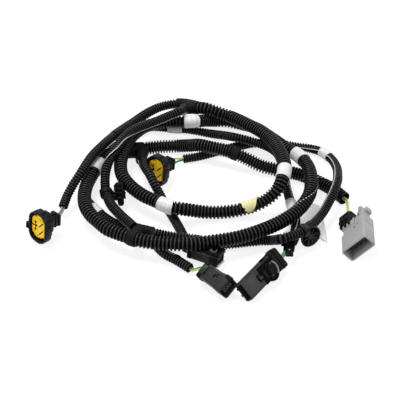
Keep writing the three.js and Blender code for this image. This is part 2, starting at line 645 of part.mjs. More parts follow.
const mainGroup = connectorAt([108, -81.5, 11.3], -94.5, 0, 48);
{
  const wide = grey.width / 2;
  const thick = grey.height / 2;
  const rear = -grey.length;
  const places = [-1, 1].map((s) => [greyCap.offsetY + (s * greyWirePitch) / 2, greyCap.offsetZ]);
  const ribs = [0, 1].map((i) =>
    block(rear, rear + greyRib.length, 1.6 + i * greyRib.pitch, 1.6 + i * greyRib.pitch + greyRib.width,
      thick - 1, thick + greyRib.rise));
  const housing = cutBy(
    joined([
      prism(grey.width, grey.height, grey.corner, rear, 0),
      block(rear - greyTab.overhang, rear + greyTab.length, wide - 1, wide + greyTab.rise,
        -greyTab.width / 2, greyTab.width / 2),
      ...ribs,
    ]),
    [prism(grey.width - 2 * grey.wall, grey.height - 2 * grey.wall, grey.corner - 0.8, -grey.cavity, 1)],
  );
  place("main_connector_housing", housing, plasticGrey, mainGroup);
  place("main_connector_tongue", prism(greyTongue.width, greyTongue.height, 0.5,
    -grey.cavity + clearance, -grey.cavity + greyTongue.length), plasticCharcoal, mainGroup);
  const capRear = rear - clearance - greyCap.length;
  const capY = greyCap.offsetY;
  const legLow = thick + clearance;
  const legs = [-1, 1].map((s) =>
    block(rear - 1, rear + greyCap.leg, capY + s * 4 - greyCap.legWidth / 2, capY + s * 4 + greyCap.legWidth / 2,
      legLow, legLow + 2));
  const cap = cutBy(
    joined([
      prism(greyCap.width, greyCap.height, 2, capRear, rear - clearance, capY, greyCap.offsetZ),
      ...legs,
    ]),
    wireHolesAt(capRear, places),
  );
  place("main_connector_wire_cover", cap, plasticBlack, mainGroup);
  wires("main_connector", trunk, "start", mainGroup, wireEndsAt(capRear, places), ["yellow", "lime"]);
}

// Two-way plugs: charcoal housing, a contact carrier in the mouth, a black cap at the back

function twoWayPlug(prefix, group, size, stacked, curve, colours) {
  const { width, height, corner, wall, cavity } = size;
  const rear = -size.length;
  const places = [-1, 1].map((s) => (stacked ? [0, (s * plugWirePitch) / 2] : [(s * plugWirePitch) / 2, 0]));
  const housing = cutBy(
    joined([
      prism(width, height, corner, rear, 0),
      block(-plugLatch.fromMouth - plugLatch.length, -plugLatch.fromMouth, -plugLatch.width / 2, plugLatch.width / 2,
        height / 2 - 1, height / 2 + plugLatch.rise),
    ]),
    [
      prism(width - 2 * wall, height - 2 * wall, 0.8, -cavity, 1),
      ...wireHolesAt(rear, places),
    ],
  );
  place(prefix + "_housing", housing, plasticCharcoal, group);
  place(prefix + "_contact_carrier", prism(width - 2 * wall - 2 * clearance,
    height - 2 * wall - 2 * clearance, 0.6, -cavity + clearance, -plugInsertRecess), plasticBlack, group);
  const capRear = rear - clearance - plugCap.length;
  const cap = cutBy(
    prism(width + 2 * plugCap.proud, height + plugCap.proud, corner, capRear, rear - clearance, 0,
      plugCap.proud / 4),
    places.map(([y, z]) => rodX(wireHole, capRear - 1, rear + 1, y, z)),
  );
  place(prefix + "_rear_cap", cap, plasticBlack, group);
  wires(prefix, curve, "end", group, wireEndsAt(capRear, places), colours);
}

const frontPlug = connectorAt([20.5, -118.7, 6], -45, 0, 14);
twoWayPlug("front_plug", frontPlug, plug, false, frontLead, ["lime", "green"]);
const crossPlug = connectorAt([15.2, -88.5, 4.4], -21, 0, 0);
twoWayPlug("cross_plug", crossPlug, lowPlug, true, crossLead, ["black", "grey"]);

// Sealed connector: a long charcoal housing with a locked pocket on its face and a flange at the back

const sealedGroup = connectorAt([28.9, -120.9, 6.9], -125.5, -1.6, -42);
{
  const rear = -sealed.length;
  const face = sealed.height / 2;
  const pocketRear = rear + sealedPocket.fromRear;
  const pocketFront = pocketRear + sealedPocket.length;
  const windowRear = pocketFront + sealedWindow.gap;
  const places = [[-sealedWirePitch, -0.6], [0, -0.6], [sealedWirePitch, -0.6]];
  const housing = cutBy(
    prism(sealed.width, sealed.height, sealed.corner, rear, 0),
    [
      prism(sealed.width - 2 * sealed.wall, sealed.height - 2 * sealed.wall, 0.8, -sealed.cavity, 1),
      block(pocketRear, pocketFront, -sealedPocket.width / 2, sealedPocket.width / 2,
        face - sealedPocket.depth, face + 1),
      block(windowRear, windowRear + sealedWindow.length, -sealedWindow.width / 2, sealedWindow.width / 2,
        face - sealedWindow.depth, face + 1),
      ...wireHolesAt(rear, places),
    ],
  );
  place("sealed_connector_housing", housing, plasticCharcoal, sealedGroup);
  place("sealed_connector_contact_carrier", prism(sealed.width - 2 * sealed.wall - 2 * clearance,
    sealed.height - 2 * sealed.wall - 2 * clearance, 0.6, -sealed.cavity + clearance, -sealedInsertRecess),
    plasticBlack, sealedGroup);
  const lockLow = face - sealedPocket.depth + clearance;
  const lockEdge = sealedPocket.width / 2 - clearance;
  place("sealed_connector_lock", joined([
    block(pocketRear + clearance, pocketFront - clearance, -lockEdge, lockEdge, lockLow, lockLow + 0.9),
    ...[3, 6, 9].map((x) => block(pocketRear + x, pocketRear + x + 1.2, -lockEdge + 1, lockEdge - 1, lockLow, lockLow + 1.9)),
  ]), plasticBlack, sealedGroup);
  const flangeRear = rear - clearance - sealedFlange.length;
  const flange = cutBy(
    prism(sealed.width + 2 * sealedFlange.proud, sealed.height + 2 * sealedFlange.proud, sealed.corner + 0.6,
      flangeRear, rear - clearance),
    places.map(([y, z]) => rodX(wireHole, flangeRear - 1, rear + 1, y, z)),
  );
  place("sealed_connector_rear_flange", flange, plasticCharcoal, sealedGroup);
  wires("sealed_connector", longLead, "end", sealedGroup, wireEndsAt(flangeRear, places),
    ["blue", "green", "orange"]);
}

export default harness;
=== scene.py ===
"""A vehicle wiring harness, coiled flat: corrugated conduit, tape, clips, a bare label and connectors.

Metres, +Z up. The harness lies on the plane z = 0, with the origin at the middle of its footprint.
"""

import math

import bmesh
import bpy
import numpy as np
from mathutils import Matrix, Vector, noise


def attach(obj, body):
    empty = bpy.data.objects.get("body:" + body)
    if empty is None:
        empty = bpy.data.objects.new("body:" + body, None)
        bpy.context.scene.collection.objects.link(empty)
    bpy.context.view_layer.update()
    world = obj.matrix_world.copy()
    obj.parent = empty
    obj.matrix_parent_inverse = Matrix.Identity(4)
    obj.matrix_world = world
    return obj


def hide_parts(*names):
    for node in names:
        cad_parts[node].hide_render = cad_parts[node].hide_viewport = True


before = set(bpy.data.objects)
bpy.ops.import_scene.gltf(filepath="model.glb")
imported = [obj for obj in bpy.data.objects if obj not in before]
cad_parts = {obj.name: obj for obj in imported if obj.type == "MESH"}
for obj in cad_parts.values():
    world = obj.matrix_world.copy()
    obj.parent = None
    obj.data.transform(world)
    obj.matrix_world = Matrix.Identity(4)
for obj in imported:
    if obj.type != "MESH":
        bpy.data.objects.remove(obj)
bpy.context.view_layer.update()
scene = bpy.context.scene

# Camera
# A long lens looks down on the coil from the front, 37 degrees above the table.
# The coil's middle sits a little above the middle of the picture.

elevation = math.radians(37)
distance = 0.83
aim = Vector((-0.0023, 0.0111, 0))
camera = bpy.data.objects.new("camera", bpy.data.cameras.new("camera"))
camera.data.sensor_width = 36
camera.data.lens = 100.17
camera.data.shift_y = -0.025
camera.data.clip_start = 0.05
camera.location = aim + distance * Vector((0, -math.cos(elevation), math.sin(elevation)))
camera.rotation_euler = (math.pi / 2 - elevation, 0, 0)
scene.collection.objects.link(camera)
scene.camera = camera
scene.view_settings.view_transform = "Standard"

# Table and studio light
# A white sweep of card under and behind the coil, lit by a broad soft box above and two at the sides.
# The card and the room show as plain white, and the card keeps the coil's faint shadow.

card_size = 6
card_depth = 0.0002


def link(tree, source, target):
    tree.links.new(source, target)


def number(tree, operation, a, b):
    """A Math node; a and b are sockets or numbers."""
    node = tree.nodes.new("ShaderNodeMath")
    node.operation = operation
    for socket, value in zip(node.inputs, (a, b)):
        if hasattr(value, "is_output"):
            link(tree, value, socket)
        else:
            socket.default_value = value
    return node.outputs[0]


def plain_shader(tree, kind, grey, strength=None):
    """A shader of one grey, with a strength where it sends light."""
    node = tree.nodes.new(kind)
    node.inputs["Color"].default_value = (grey, grey, grey, 1)
    if strength is not None:
        node.inputs["Strength"].default_value = strength
    return node.outputs[0]


def show_apart(tree, lit, seen, output):
    """The seen shader for camera, glossy and transmission rays, and the lit one for the light on the coil."""
    path = tree.nodes.new("ShaderNodeLightPath")
    direct = number(tree, "MAXIMUM", path.outputs["Is Camera Ray"], path.outputs["Is Glossy Ray"])
    mix = tree.nodes.new("ShaderNodeMixShader")
    link(tree, number(tree, "MAXIMUM", direct, path.outputs["Is Transmission Ray"]), mix.inputs["Fac"])
    link(tree, lit, mix.inputs[1])
    link(tree, seen, mix.inputs[2])
    link(tree, mix.outputs[0], tree.nodes.new(output).inputs["Surface"])


world = bpy.data.worlds.new("white_room")
scene.world = world
world.use_nodes = True
room = world.node_tree
room.nodes.clear()
dim_room = plain_shader(room, "ShaderNodeBackground", 1, 0.45)
show_apart(room, dim_room, plain_shader(room, "ShaderNodeBackground", 1, 1), "ShaderNodeOutputWorld")

card_paper = bpy.data.materials.new("white_card")
card_paper.use_nodes = True
card = card_paper.node_tree
card.nodes.clear()
card_sum = card.nodes.new("ShaderNodeAddShader")
link(card, plain_shader(card, "ShaderNodeBsdfDiffuse", 0.3), card_sum.inputs[0])
link(card, plain_shader(card, "ShaderNodeEmission", 1, 0.81), card_sum.inputs[1])
card_matt = plain_shader(card, "ShaderNodeBsdfDiffuse", 0.82)
show_apart(card, card_matt, card_sum.outputs[0], "ShaderNodeOutputMaterial")

card_bm = bmesh.new()
bmesh.ops.create_grid(card_bm, x_segments=1, y_segments=1, size=card_size / 2)
card_mesh = bpy.data.meshes.new("table_card")
card_bm.to_mesh(card_mesh)
card_bm.free()
card_mesh.materials.append(card_paper)
table_card = bpy.data.objects.new("table_card", card_mesh)
table_card.location = (0, 0, -card_depth)
scene.collection.objects.link(table_card)

for name, place, size, power in (
    ("soft_box_above", (-0.25, 0.2, 0.9), 0.35, 6.2),
    ("soft_box_left", (-0.9, -0.5, 0.5), 0.3, 2.4),
    ("soft_box_right", (0.8, -0.2, 0.6), 0.3, 2.2),
):
    lamp = bpy.data.lights.new(name, "AREA")
    lamp.size = size
    lamp.energy = power
    box = bpy.data.objects.new(name, lamp)
    box.location = place
    box.rotation_euler = (-Vector(place)).to_track_quat("-Z", "Y").to_euler()
    scene.collection.objects.link(box)

# Trunk conduit
# Corrugated tube of black polyethylene, 10 mm outside and 7.5 mm inside, slit along its length for its wires.
# Four lengths follow one route, butt end to end under tape, and lie in a coil under their own weight.

trunk_outer = 0.010
trunk_bore = 0.0075
trunk_pitch = 0.00265
fine_pitch = 0.0022
trunk_groove = 0.0014
trunk_sides = 22
mouth_depth = 0.020
butt_gap = 0.0006
slit_width = 0.0005
slit_raised = 0.00025
slit_sunk = 0.0003
ridge_profile = ((0.05, 1), (0.17, 0.3), (0.3, 0), (0.5, 0), (0.63, 0.3), (0.75, 1))

upper_run_points = [
    (0.1034, -0.0067, 0.0051), (0.0957, 0.0047, 0.0051), (0.0838, 0.016, 0.0051),
    (0.0678, 0.0259, 0.0051), (0.0547, 0.0304, 0.0051), (0.0436, 0.0337, 0.0065),
    (0.0337, 0.0369, 0.01), (0.0247, 0.0402, 0.0128), (0.0157, 0.0444, 0.0133),
    (0.0057, 0.0478, 0.0134), (-0.0023, 0.0515, 0.0128), (-0.0103, 0.0571, 0.0086),
    (-0.0203, 0.0611, 0.0054), (-0.0333, 0.0605, 0.0051), (-0.0469, 0.0574, 0.0052),
]
left_bend_points = [
    (-0.0513, 0.0556, 0.0052), (-0.0572, 0.0542, 0.0054), (-0.0639, 0.0505, 0.0074),
    (-0.0719, 0.0398, 0.012), (-0.0778, 0.0267, 0.0129), (-0.0828, 0.0099, 0.013),
    (-0.0852, -0.0013, 0.0131), (-0.0857, -0.0133, 0.0131), (-0.0839, -0.0252, 0.0131),
    (-0.0795, -0.035, 0.013), (-0.0729, -0.0435, 0.0128), (-0.0662, -0.0512, 0.0128),
    (-0.0573, -0.0566, 0.0128), (-0.0498, -0.0605, 0.0128),
]
outer_turn_points = [
    (-0.0473, -0.0618, 0.0128), (-0.0363, -0.0654, 0.013), (-0.0233, -0.0677, 0.0135),
    (-0.0093, -0.0686, 0.0137), (0.0047, -0.0655, 0.0134), (0.0217, -0.0609, 0.0129),
    (0.0377, -0.0543, 0.0133), (0.0537, -0.0444, 0.0134), (0.067, -0.0314, 0.0141),
    (0.076, -0.0159, 0.0156), (0.0788, 0.0001, 0.0166), (0.0779, 0.0192, 0.0159),
    (0.0722, 0.0357, 0.0139), (0.065, 0.0452, 0.013), (0.0574, 0.0552, 0.0131),
    (0.0501, 0.0644, 0.0132), (0.0415, 0.0809, 0.009), (0.0317, 0.0913, 0.0054),
    (0.0208, 0.0952, 0.0053), (0.0097, 0.0945, 0.0066), (0.0017, 0.09, 0.0098),
    (-0.0063, 0.0829, 0.0139), (-0.0153, 0.0824, 0.0139), (-0.0254, 0.0822, 0.0139),
    (-0.0345, 0.0809, 0.0138), (-0.0436, 0.0768, 0.0138), (-0.0504, 0.0676, 0.015),
    (-0.0565, 0.0539, 0.0164), (-0.0601, 0.0366, 0.0168), (-0.0614, 0.0202, 0.0164),
    (-0.0593, 0.0081, 0.0153), (-0.0526, -0.0031, 0.014), (-0.0424, -0.0144, 0.0137),
    (-0.0353, -0.0194, 0.0137), (-0.0297, -0.0234, 0.0137),
]
inner_turn_points = [
    (-0.0275, -0.0248, 0.0137), (-0.0223, -0.0274, 0.0134), (-0.0164, -0.0274, 0.0124),
    (-0.0083, -0.026, 0.0098), (0.0017, -0.0244, 0.007), (0.0136, -0.0231, 0.0059),
    (0.0266, -0.0209, 0.0064), (0.0366, -0.019, 0.0085), (0.0456, -0.0169, 0.0125),
    (0.0529, -0.0132, 0.018), (0.0574, -0.0048, 0.0228), (0.0596, 0.0077, 0.0243),
    (0.0583, 0.021, 0.0244), (0.0553, 0.0342, 0.0234), (0.0505, 0.0479, 0.0218),
    (0.0439, 0.0595, 0.0204), (0.0354, 0.0708, 0.0186), (0.0274, 0.0805, 0.017),
    (0.0205, 0.0875, 0.0159), (0.0114, 0.0895, 0.0183), (0.0026, 0.0927, 0.0195),
    (-0.0053, 0.0974, 0.0174),
]


def smooth_line(points):
    """The smooth line through a route's points: places along it, and each place's distance from the start."""
    p = [np.array(q, float) for q in points]
    p = [2 * p[0] - p[1]] + p + [2 * p[-1] - p[-2]]
    places = []
    for a, b, c, d in zip(p, p[1:], p[2:], p[3:]):
        ab, bc, cd = [np.linalg.norm(v - u) ** 0.5 for u, v in ((a, b), (b, c), (c, d))]
        leave = ((b - a) / ab - (c - a) / (ab + bc) + (c - b) / bc) * bc
        arrive = ((c - b) / bc - (d - b) / (bc + cd) + (d - c) / cd) * bc
        for s in np.linspace(0, 1, 24, endpoint=False):
            places.append(
                (2 * s**3 - 3 * s**2 + 1) * b
                + (s**3 - 2 * s**2 + s) * leave
                + (3 * s**2 - 2 * s**3) * c
                + (s**3 - s**2) * arrive
            )
    places.append(p[-2])
    places = np.array(places)
    steps = np.linalg.norm(np.diff(places, axis=0), axis=1)
    return places, np.concatenate([[0], np.cumsum(steps)])


def place_on(line, distance):
    """The places on a line at these distances."""
    return np.stack([np.interp(distance, line[1], line[0][:, k]) for k in range(3)], axis=-1)


def reach(line, point):
    """The distance along a line of the place nearest a point."""
    fine = np.arange(0, line[1][-1], 0.0001)
    return fine[np.argmin(np.linalg.norm(place_on(line, fine) - np.array(point), axis=1))]


def lay_along(verts, line, start, turn=None):
    """Bends a straight piece along X onto a line. turn lists (distance, degrees its top is rolled by)."""
    verts = list(verts)
    probe = 0.0004
    co = np.array([v.co for v in verts])
    distance = start + co[:, 0]
    inside = np.clip(distance, probe, line[1][-1] - probe)
    ahead = place_on(line, inside + probe) - place_on(line, inside - probe)
    ahead /= np.linalg.norm(ahead, axis=1)[:, None]
    side = np.cross(ahead, (0, 0, 1))
    side /= np.linalg.norm(side, axis=1)[:, None]
    top = np.cross(side, ahead)
    radius = np.hypot(co[:, 1], co[:, 2])
    angle = np.arctan2(co[:, 1], co[:, 2])
    if turn:
        angle = angle + np.radians(np.interp(distance, [t[0] for t in turn], [t[1] for t in turn]))
    laid = place_on(line, inside) + ahead * (distance - inside)[:, None]
    laid += side * (radius * np.sin(angle))[:, None] + top * (radius * np.cos(angle))[:, None]
    laid[:, 2] = np.maximum(laid[:, 2], 0.0001)
    for vert, point in zip(verts, laid):
        vert.co = point


def spun(bm, profile, sides, ring=False):
    """Turns a profile of (distance along X, radius) about X and gives its vertices. A ring is closed."""
    known = set(bm.verts)
    chain = [bm.verts.new((x, 0, radius)) for x, radius in profile]
    edges = [bm.edges.new(pair) for pair in zip(chain, chain[1:] + chain[:1] * ring)]
    bmesh.ops.spin(bm, geom=chain + edges, cent=(0, 0, 0), axis=(1, 0, 0), dvec=(0, 0, 0),
                   angle=2 * math.pi, steps=sides, use_merge=True, use_duplicate=False)
    bmesh.ops.remove_doubles(bm, verts=[v for v in bm.verts if v not in known], dist=1e-6)
    return [v for v in bm.verts if v not in known]


def corrugated_tube(length, outer, bore, pitch, groove, sides, open_start, open_end):
    """A straight tube along X, its slit on top: ridges and grooves outside, and a bore at an open end."""
    count = round(length / pitch)
    step = length / count
    high = outer / 2
    low = high - groove
    deep = min(mouth_depth, length / 2)
    profile = [(deep, 0), (deep, bore / 2), (0, bore / 2)] if open_start else [(0, 0)]
    for i in range(count):
        profile += [((i + share) * step, high - groove * depth) for share, depth in ridge_profile]
    profile += [(length, bore / 2), (length - deep, bore / 2),
                (length - deep, 0)] if open_end else [(length, 0)]
    bm = bmesh.new()
    spun(bm, profile, sides)
    bmesh.ops.recalc_face_normals(bm, faces=bm.faces)
    # The ridge layer marks ridge tops with 1 and grooves with 0; the conduit's material paints a highlight on
    # the tops and shade in the grooves from it.
    ridge = bm.verts.layers.float.new("ridge")
    lip = math.atan2(slit_width, high)
    even = (2 * math.pi - 2 * lip) / (sides - 2)
    slit_highlight_verts = set()
    for v in bm.verts:
        radius = math.hypot(v.co.y, v.co.z)
        if radius < 1e-6:
            continue
        column = round(math.atan2(v.co.y, v.co.z) / (2 * math.pi / sides)) % sides
        v[ridge] = 1.0 if radius > high - 1e-5 else 0.0
        # One side of the slit is a raised lip whose faces take the second material, a pale painted highlight;
        # the other side is sunk and marked as groove, so it takes the painted groove shade.
        if radius > bore / 2 + 1e-5 and column in (0, 1):
            radius = high + slit_raised
            v[ridge] = 1.0
            slit_highlight_verts.add(v)
        elif radius > bore / 2 + 1e-5 and column == sides - 1:
            radius = low - slit_sunk
            v[ridge] = 0.0
        angle = 0 if column == 0 else lip + (column - 1) * even
        v.co = (v.co.x, radius * math.sin(angle), radius * math.cos(angle))
    for face in bm.faces:
        face.material_index = int(all(v in slit_highlight_verts for v in face.verts))
    return bm


def finished(name, bm, materials, sharp=40):
    """A piece from its mesh: smooth, with creases where its faces meet at more than the sharp angle."""
    for face in bm.faces:
        face.smooth = True
    mesh = bpy.data.meshes.new(name)
    bm.to_mesh(mesh)
    bm.free()
    mesh.set_sharp_from_angle(angle=math.radians(sharp))
    for material in materials:
        mesh.materials.append(material)
    piece = bpy.data.objects.new(name, mesh)
    scene.collection.objects.link(piece)
    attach(piece, "root")
    return piece


def conduit(name, node, line, start, end, outer, bore, pitch, groove, sides, turn, open_start=False,
            open_end=False):
    """One length of conduit on its route, in the place of its solid."""
    bm = corrugated_tube(end - start, outer, bore, pitch, groove, sides, open_start, open_end)
    lay_along(bm.verts, line, start, turn)
    piece = finished(name, bm, [conduit_black, slit_painted_highlight], sharp=70)
    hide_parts(node)
    return piece


def rolled(line, points, *rolls):
    """How a conduit's slit is rolled: degrees from the top at some of its route's points."""
    return [(reach(line, points[k]), degrees) for k, degrees in rolls]


def new_material(name, roughness, **sockets):
    """A material with one plastic shader, whose plain values are set on the shader itself."""
    material = bpy.data.materials.new(name)
    material.use_nodes = True
    shader = material.node_tree.nodes["Principled BSDF"]
    shader.inputs["Roughness"].default_value = roughness
    for socket, value in sockets.items():
        shader.inputs[socket.replace("_", " ")].default_value = value
    return material, material.node_tree, shader


def scaled(tree, value, factor, offset):
    """A socket's value times a factor, plus an offset."""
    return number(tree, "ADD", number(tree, "MULTIPLY", value, factor), offset)


def blend_colour(tree, factor, first, second):
    """A colour Mix node; each of its inputs is a socket or a value."""
    node = tree.nodes.new("ShaderNodeMix")
    node.data_type = "RGBA"
    for socket, value in ((node.inputs[0], factor), (node.inputs[6], first), (node.inputs[7], second)):
        if hasattr(value, "is_output"):
            link(tree, value, socket)
        else:
            socket.default_value = value
    return node.outputs[2]


def noise_on(tree, scale, detail=3.0, where=None):
    """Noise on the piece's own coordinates."""
    node = tree.nodes.new("ShaderNodeTexNoise")
    node.inputs["Scale"].default_value = scale
    node.inputs["Detail"].default_value = detail
    if where is None:
        where = tree.nodes.new("ShaderNodeTexCoord").outputs["Object"]
    link(tree, where, node.inputs["Vector"])
    return node.outputs["Fac"]


def dress(tree, shader, colour, roughness, height, depth):
    """Puts a colour, a roughness and a relief of this depth on a shader."""
    relief = tree.nodes.new("ShaderNodeBump")
    relief.inputs["Distance"].default_value = depth
    relief.inputs["Strength"].default_value = 1
    link(tree, height, relief.inputs["Height"])
    link(tree, colour, shader.inputs["Base Color"])
    link(tree, roughness, shader.inputs["Roughness"])
    link(tree, relief.outputs["Normal"], shader.inputs["Normal"])


def make_handled_plastic():
    """A node group for handled moulded plastic: faint grain, smudges and paler rubbed places."""
    group = bpy.data.node_groups.new("handled_plastic", "ShaderNodeTree")
    for name, kind, value in (("Colour", "NodeSocketColor", (0.02, 0.02, 0.02, 1)),
                              ("Rubbed Colour", "NodeSocketColor", (0.1, 0.1, 0.1, 1)),
                              ("Rubbed", "NodeSocketFloat", 0.3),
                              ("Grain Scale", "NodeSocketFloat", 3000.0),
                              ("Smooth Roughness", "NodeSocketFloat", 0.35),
                              ("Dull Roughness", "NodeSocketFloat", 0.6)):
        group.interface.new_socket(name, in_out="INPUT", socket_type=kind).default_value = value
    for name, kind in (("Colour", "NodeSocketColor"), ("Roughness", "NodeSocketFloat"),
                       ("Height", "NodeSocketFloat")):
        group.interface.new_socket(name, in_out="OUTPUT", socket_type=kind)
    given = group.nodes.new("NodeGroupInput").outputs
    made = group.nodes.new("NodeGroupOutput").inputs
    smudge = noise_on(group, 90.0, 4.0)
    fleck = noise_on(group, 600.0, 2.0)
    grain = group.nodes.new("ShaderNodeTexNoise")
    link(group, group.nodes.new("ShaderNodeTexCoord").outputs["Object"], grain.inputs["Vector"])
    link(group, given["Grain Scale"], grain.inputs["Scale"])
    rubbed = number(group, "MULTIPLY", number(group, "GREATER_THAN", fleck, 0.62), smudge)
    rubbed = number(group, "MULTIPLY", rubbed, given["Rubbed"])
    link(group, blend_colour(group, rubbed, given["Colour"], given["Rubbed Colour"]), made["Colour"])
    spread = number(group, "SUBTRACT", given["Dull Roughness"], given["Smooth Roughness"])
    dulled = number(group, "MULTIPLY", smudge, spread)
    link(group, number(group, "ADD", dulled, given["Smooth Roughness"]), made["Roughness"])
    fine = number(group, "MULTIPLY", grain.outputs["Fac"], 0.6)
    link(group, number(group, "ADD", fine, number(group, "MULTIPLY", smudge, 0.4)), made["Height"])
    return group


handled_plastic = make_handled_plastic()


def handled(tree, colour, rubbed_colour, rubbed, grain_scale, smooth, dull):
    """The colour, roughness and height of a handled plastic."""
    node = tree.nodes.new("ShaderNodeGroup")
    node.node_tree = handled_plastic
    node.inputs["Colour"].default_value = (*colour, 1)
    node.inputs["Rubbed Colour"].default_value = (*rubbed_colour, 1)
    node.inputs["Rubbed"].default_value = rubbed
    node.inputs["Grain Scale"].default_value = grain_scale
    node.inputs["Smooth Roughness"].default_value = smooth
    node.inputs["Dull Roughness"].default_value = dull
    return node.outputs["Colour"], node.outputs["Roughness"], node.outputs["Height"]


def ridge_of(tree):
    """1 on the tops of the ridges and 0 in the grooves, as the mesh was painted."""
    node = tree.nodes.new("ShaderNodeAttribute")
    node.attribute_name = "ridge"
    return node.outputs["Fac"]


conduit_black, tree, shader = new_material("conduit_black", 0.4)
colour, roughness, height = handled(
    tree, (0.003, 0.003, 0.0032), (0.03, 0.03, 0.031), 0.5, 2500.0, 0.26, 0.42)
# Painted highlight and shade: the ridge tops get a paler colour and more reflection, the grooves a darker
# colour and almost no reflection.
painted_ridge_highlight = number(tree, "MULTIPLY", ridge_of(tree), 0.5)
colour = blend_colour(tree, painted_ridge_highlight, colour, (0.02, 0.02, 0.0205, 1))
dress(tree, shader, colour, roughness, height, 0.00004)
link(tree, scaled(tree, ridge_of(tree), 0.28, 0.02), shader.inputs["Specular IOR Level"])

# A pale grey for the raised lip of the slit: a painted highlight on the black conduit.
slit_painted_highlight, tree, shader = new_material("slit_painted_highlight", 0.35)
dress(tree, shader, *handled(tree, (0.6, 0.6, 0.6), (0.85, 0.85, 0.85), 0.6, 2500.0, 0.25, 0.4), 0.00004)

trunk = smooth_line(upper_run_points + left_bend_points + outer_turn_points + inner_turn_points)
back_joint = reach(trunk, np.mean([upper_run_points[-1], left_bend_points[0]], axis=0))
front_joint = reach(trunk, np.mean([left_bend_points[-1], outer_turn_points[0]], axis=0))
turn_joint = reach(trunk, np.mean([outer_turn_points[-1], inner_turn_points[0]], axis=0))
trunk_end = trunk[1][-1]


def trunk_conduit(name, node, start, end, turn, open_start=False, pitch=trunk_pitch):
    return conduit(name, node, trunk, start, end, trunk_outer, trunk_bore, pitch, trunk_groove, trunk_sides,
                   turn, open_start=open_start)


upper_run = trunk_conduit(
    "upper_run_tube", "trunk_conduit_upper_run", 0, back_joint - butt_gap / 2,
    [(0, 150), (reach(trunk, upper_run_points[3]), -150), (0.2, -138)], open_start=True, pitch=fine_pitch)
left_bend = trunk_conduit(
    "left_bend_tube", "trunk_conduit_left_bend", back_joint + butt_gap / 2, front_joint - butt_gap / 2,
    [(0, 180)])
outer_turn = trunk_conduit(
    "outer_turn_tube", "trunk_conduit_outer_turn", front_joint + butt_gap / 2, turn_joint - butt_gap / 2,
    rolled(trunk, outer_turn_points, (6, -80), (8, -25), (9, 40), (10, 88), (11, 130), (12, 180)))
inner_turn = trunk_conduit(
    "inner_turn_tube", "trunk_conduit_inner_turn", turn_joint + butt_gap / 2, trunk_end, [(0, 180)])

# Lead conduits
# The same slit tube in a smaller size, 7.1 mm outside and 4.6 mm inside, one for each group of wires that
# leaves the trunk. Lamp lead 1 starts in a stouter tube, 7.8 mm outside, which the thinner one meets.

lead_outer = 0.0071
lead_bore = 0.0046
lead_pitch = 0.0021
lead_groove = 0.001
lead_sides = 18
shallow_groove = 0.0006
faint_groove = 0.0004
stout_outer = 0.0078

lamp_lead_one_points = [
    (-0.0142, 0.1081, 0.014), (-0.0231, 0.1087, 0.0136), (-0.0341, 0.106, 0.0126),
    (-0.0439, 0.0992, 0.0114), (-0.0547, 0.0847, 0.0118), (-0.0671, 0.0618, 0.016),
    (-0.0755, 0.0383, 0.0218), (-0.0827, 0.0239, 0.0217), (-0.0888, 0.0053, 0.021),
    (-0.0943, -0.0032, 0.016), (-0.0985, -0.0109, 0.011), (-0.101, -0.0201, 0.0075),
]
back_lead_points = [
    (-0.014, 0.0972, 0.0164), (-0.0191, 0.0812, 0.0238), (-0.0257, 0.076, 0.024),
    (-0.0332, 0.07, 0.024), (-0.0432, 0.0622, 0.0244), (-0.0542, 0.0518, 0.0256),
    (-0.0611, 0.0393, 0.0258), (-0.0653, 0.0275, 0.0246), (-0.069, 0.0192, 0.022),
    (-0.0712, 0.0101, 0.0192), (-0.0717, 0.0021, 0.015), (-0.0704, -0.0079, 0.0118),
    (-0.0659, -0.0209, 0.0113), (-0.0577, -0.0349, 0.0118), (-0.0525, -0.0422, 0.0122),
    (-0.0481, -0.0484, 0.0124),
]
long_lead_points = [
    (-0.0499, -0.0417, 0.0042), (-0.0572, -0.0374, 0.0038), (-0.0661, -0.0311, 0.004),
    (-0.0742, -0.0235, 0.0048), (-0.0801, -0.0154, 0.0047), (-0.0847, -0.0071, 0.0043),
    (-0.0863, 0.0031, 0.0037), (-0.0863, 0.0141, 0.0037), (-0.0833, 0.0241, 0.0037),
    (-0.0811, 0.033, 0.0037), (-0.0769, 0.0445, 0.0037), (-0.0717, 0.057, 0.0037),
    (-0.065, 0.0673, 0.0037), (-0.0548, 0.0795, 0.0037), (-0.0424, 0.0875, 0.0049),
    (-0.0263, 0.0858, 0.0053), (-0.0103, 0.0854, 0.004), (0.0057, 0.0802, 0.0039),
    (0.0157, 0.0727, 0.0074), (0.0246, 0.0633, 0.0119), (0.0336, 0.0591, 0.0124),
    (0.0426, 0.0555, 0.0116), (0.05, 0.0501, 0.0118), (0.0557, 0.0418, 0.0126),
    (0.0586, 0.028, 0.0143), (0.06, 0.0167, 0.0138), (0.0608, 0.0052, 0.01), (0.0627, -0.0049, 0.0058),
    (0.0644, -0.0169, 0.0049), (0.0657, -0.0309, 0.0049), (0.0646, -0.0439, 0.0047),
    (0.0627, -0.0499, 0.0048), (0.0606, -0.0558, 0.0048),
]
